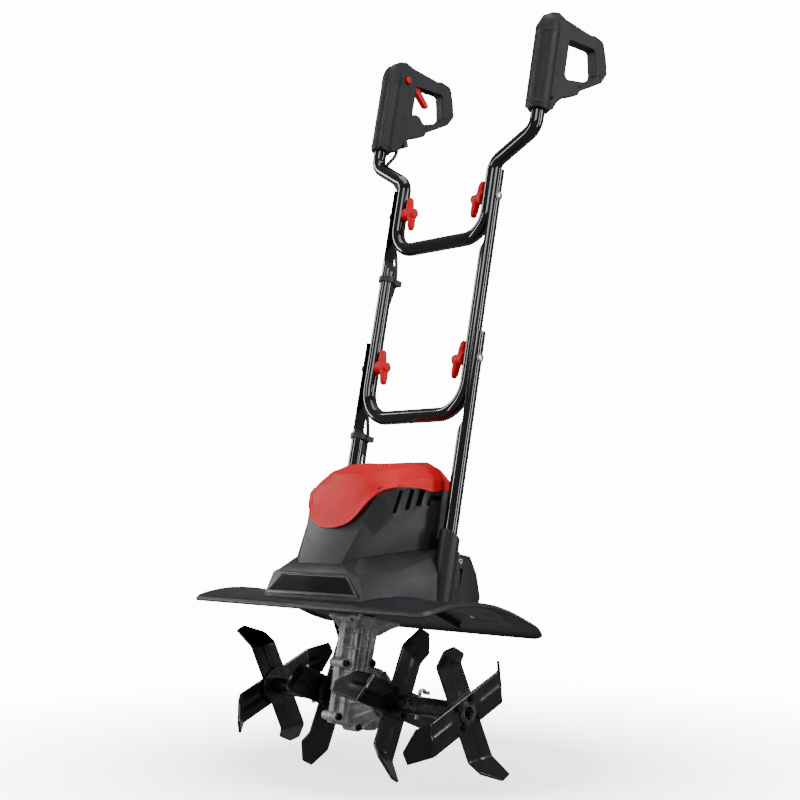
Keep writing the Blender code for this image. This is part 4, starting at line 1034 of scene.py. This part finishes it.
def add_camera():
    """A long-lensed camera ahead of the machine and to its left, a little below its middle."""
    data = bpy.data.cameras.new("camera")
    data.lens = 65.36
    data.sensor_width = 36.0
    camera = bpy.data.objects.new("camera", data)
    camera.location = AXLE_AT + Vector((1.6324, -1.4365, 0.2847))
    camera.rotation_euler = (math.radians(94.13), 0.0, math.radians(47.27))
    bpy.context.scene.collection.objects.link(camera)
    bpy.context.scene.camera = camera


def add_light(name, place, aim, size, power):
    """A white rectangular lamp."""
    data = bpy.data.lights.new(name, "AREA")
    data.shape = "RECTANGLE"
    data.size, data.size_y = size
    data.energy = power
    light = bpy.data.objects.new(name, data)
    light.location = place
    light.rotation_euler = (Vector(aim) - Vector(place)).to_track_quat("-Z", "Y").to_euler()
    bpy.context.scene.collection.objects.link(light)


def add_world():
    """Soft, even light on the object, with a clean white backdrop behind it."""
    world = bpy.data.worlds.new("studio")
    world.use_nodes = True
    tree = world.node_tree
    soft = tree.nodes["Background"]
    soft.inputs["Color"].default_value = (1.0, 1.0, 1.0, 1.0)
    soft.inputs["Strength"].default_value = SOFT_LIGHT
    backdrop = tree.nodes.new("ShaderNodeBackground")
    backdrop.inputs["Strength"].default_value = BACKDROP_LIGHT
    backdrop.inputs["Color"].default_value = (1.0, 1.0, 1.0, 1.0)
    seen = tree.nodes.new("ShaderNodeLightPath").outputs["Is Camera Ray"]
    mix = tree.nodes.new("ShaderNodeMixShader")
    tree.links.new(seen, mix.inputs[0])
    tree.links.new(soft.outputs[0], mix.inputs[1])
    tree.links.new(backdrop.outputs[0], mix.inputs[2])
    tree.links.new(mix.outputs[0], tree.nodes["World Output"].inputs[0])
    bpy.context.scene.world = world


def add_stage():
    """The backdrop, six soft lamps, and a floor that lights and reflects in nothing."""
    add_world()
    middle = (0.0, 0.0, 0.5)
    add_light("key", (1.7, -2.4, 2.6), middle, (1.4, 1.4), 34.0)
    add_light("left_strip", (-2.6, -1.0, 1.3), middle, (0.35, 2.4), 40.0)
    add_light("right_strip", (2.5, 1.4, 1.4), middle, (0.30, 2.6), 50.0)
    add_light("top", (0.0, 0.2, 3.2), middle, (2.2, 2.2), 40.0)
    add_light("front_strip", (-0.9, -2.6, 1.0), middle, (0.22, 2.4), 26.0)
    add_light("near_strip", (2.9, -0.1, 0.9), middle, (0.20, 2.4), 24.0)
    bm = bmesh.new()
    bmesh.ops.create_circle(bm, cap_ends=True, segments=64, radius=6.0)
    mesh = bpy.data.meshes.new("floor")
    bm.to_mesh(mesh)
    bm.free()
    floor = bpy.data.objects.new("floor", mesh)
    mesh.materials.append(floor_material())
    bpy.context.scene.collection.objects.link(floor)
    floor.visible_diffuse = floor.visible_glossy = False


def dress_nodes(frame, looks):
    """Gives every CAD node the finish of its own material slot."""
    slots = {part["node"]: part["material_slot"] for part in frame["record"]["subparts"]}
    for name, node in frame["nodes"].items():
        node.data.materials.clear()
        node.data.materials.append(looks[slots[name]])


def main():
    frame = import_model()
    add_camera()
    add_stage()
    looks = make_materials()
    dress_nodes(frame, looks)
    build_guard(looks)
    build_housing(looks)
    build_front_panel(looks)
    build_cover(looks)
    build_gearbox(looks)
    build_tines(looks)
    build_tubes(looks)
    build_lead(looks)
    build_wing_nuts(looks)
    build_grips(looks)
    build_switch(looks)


main()
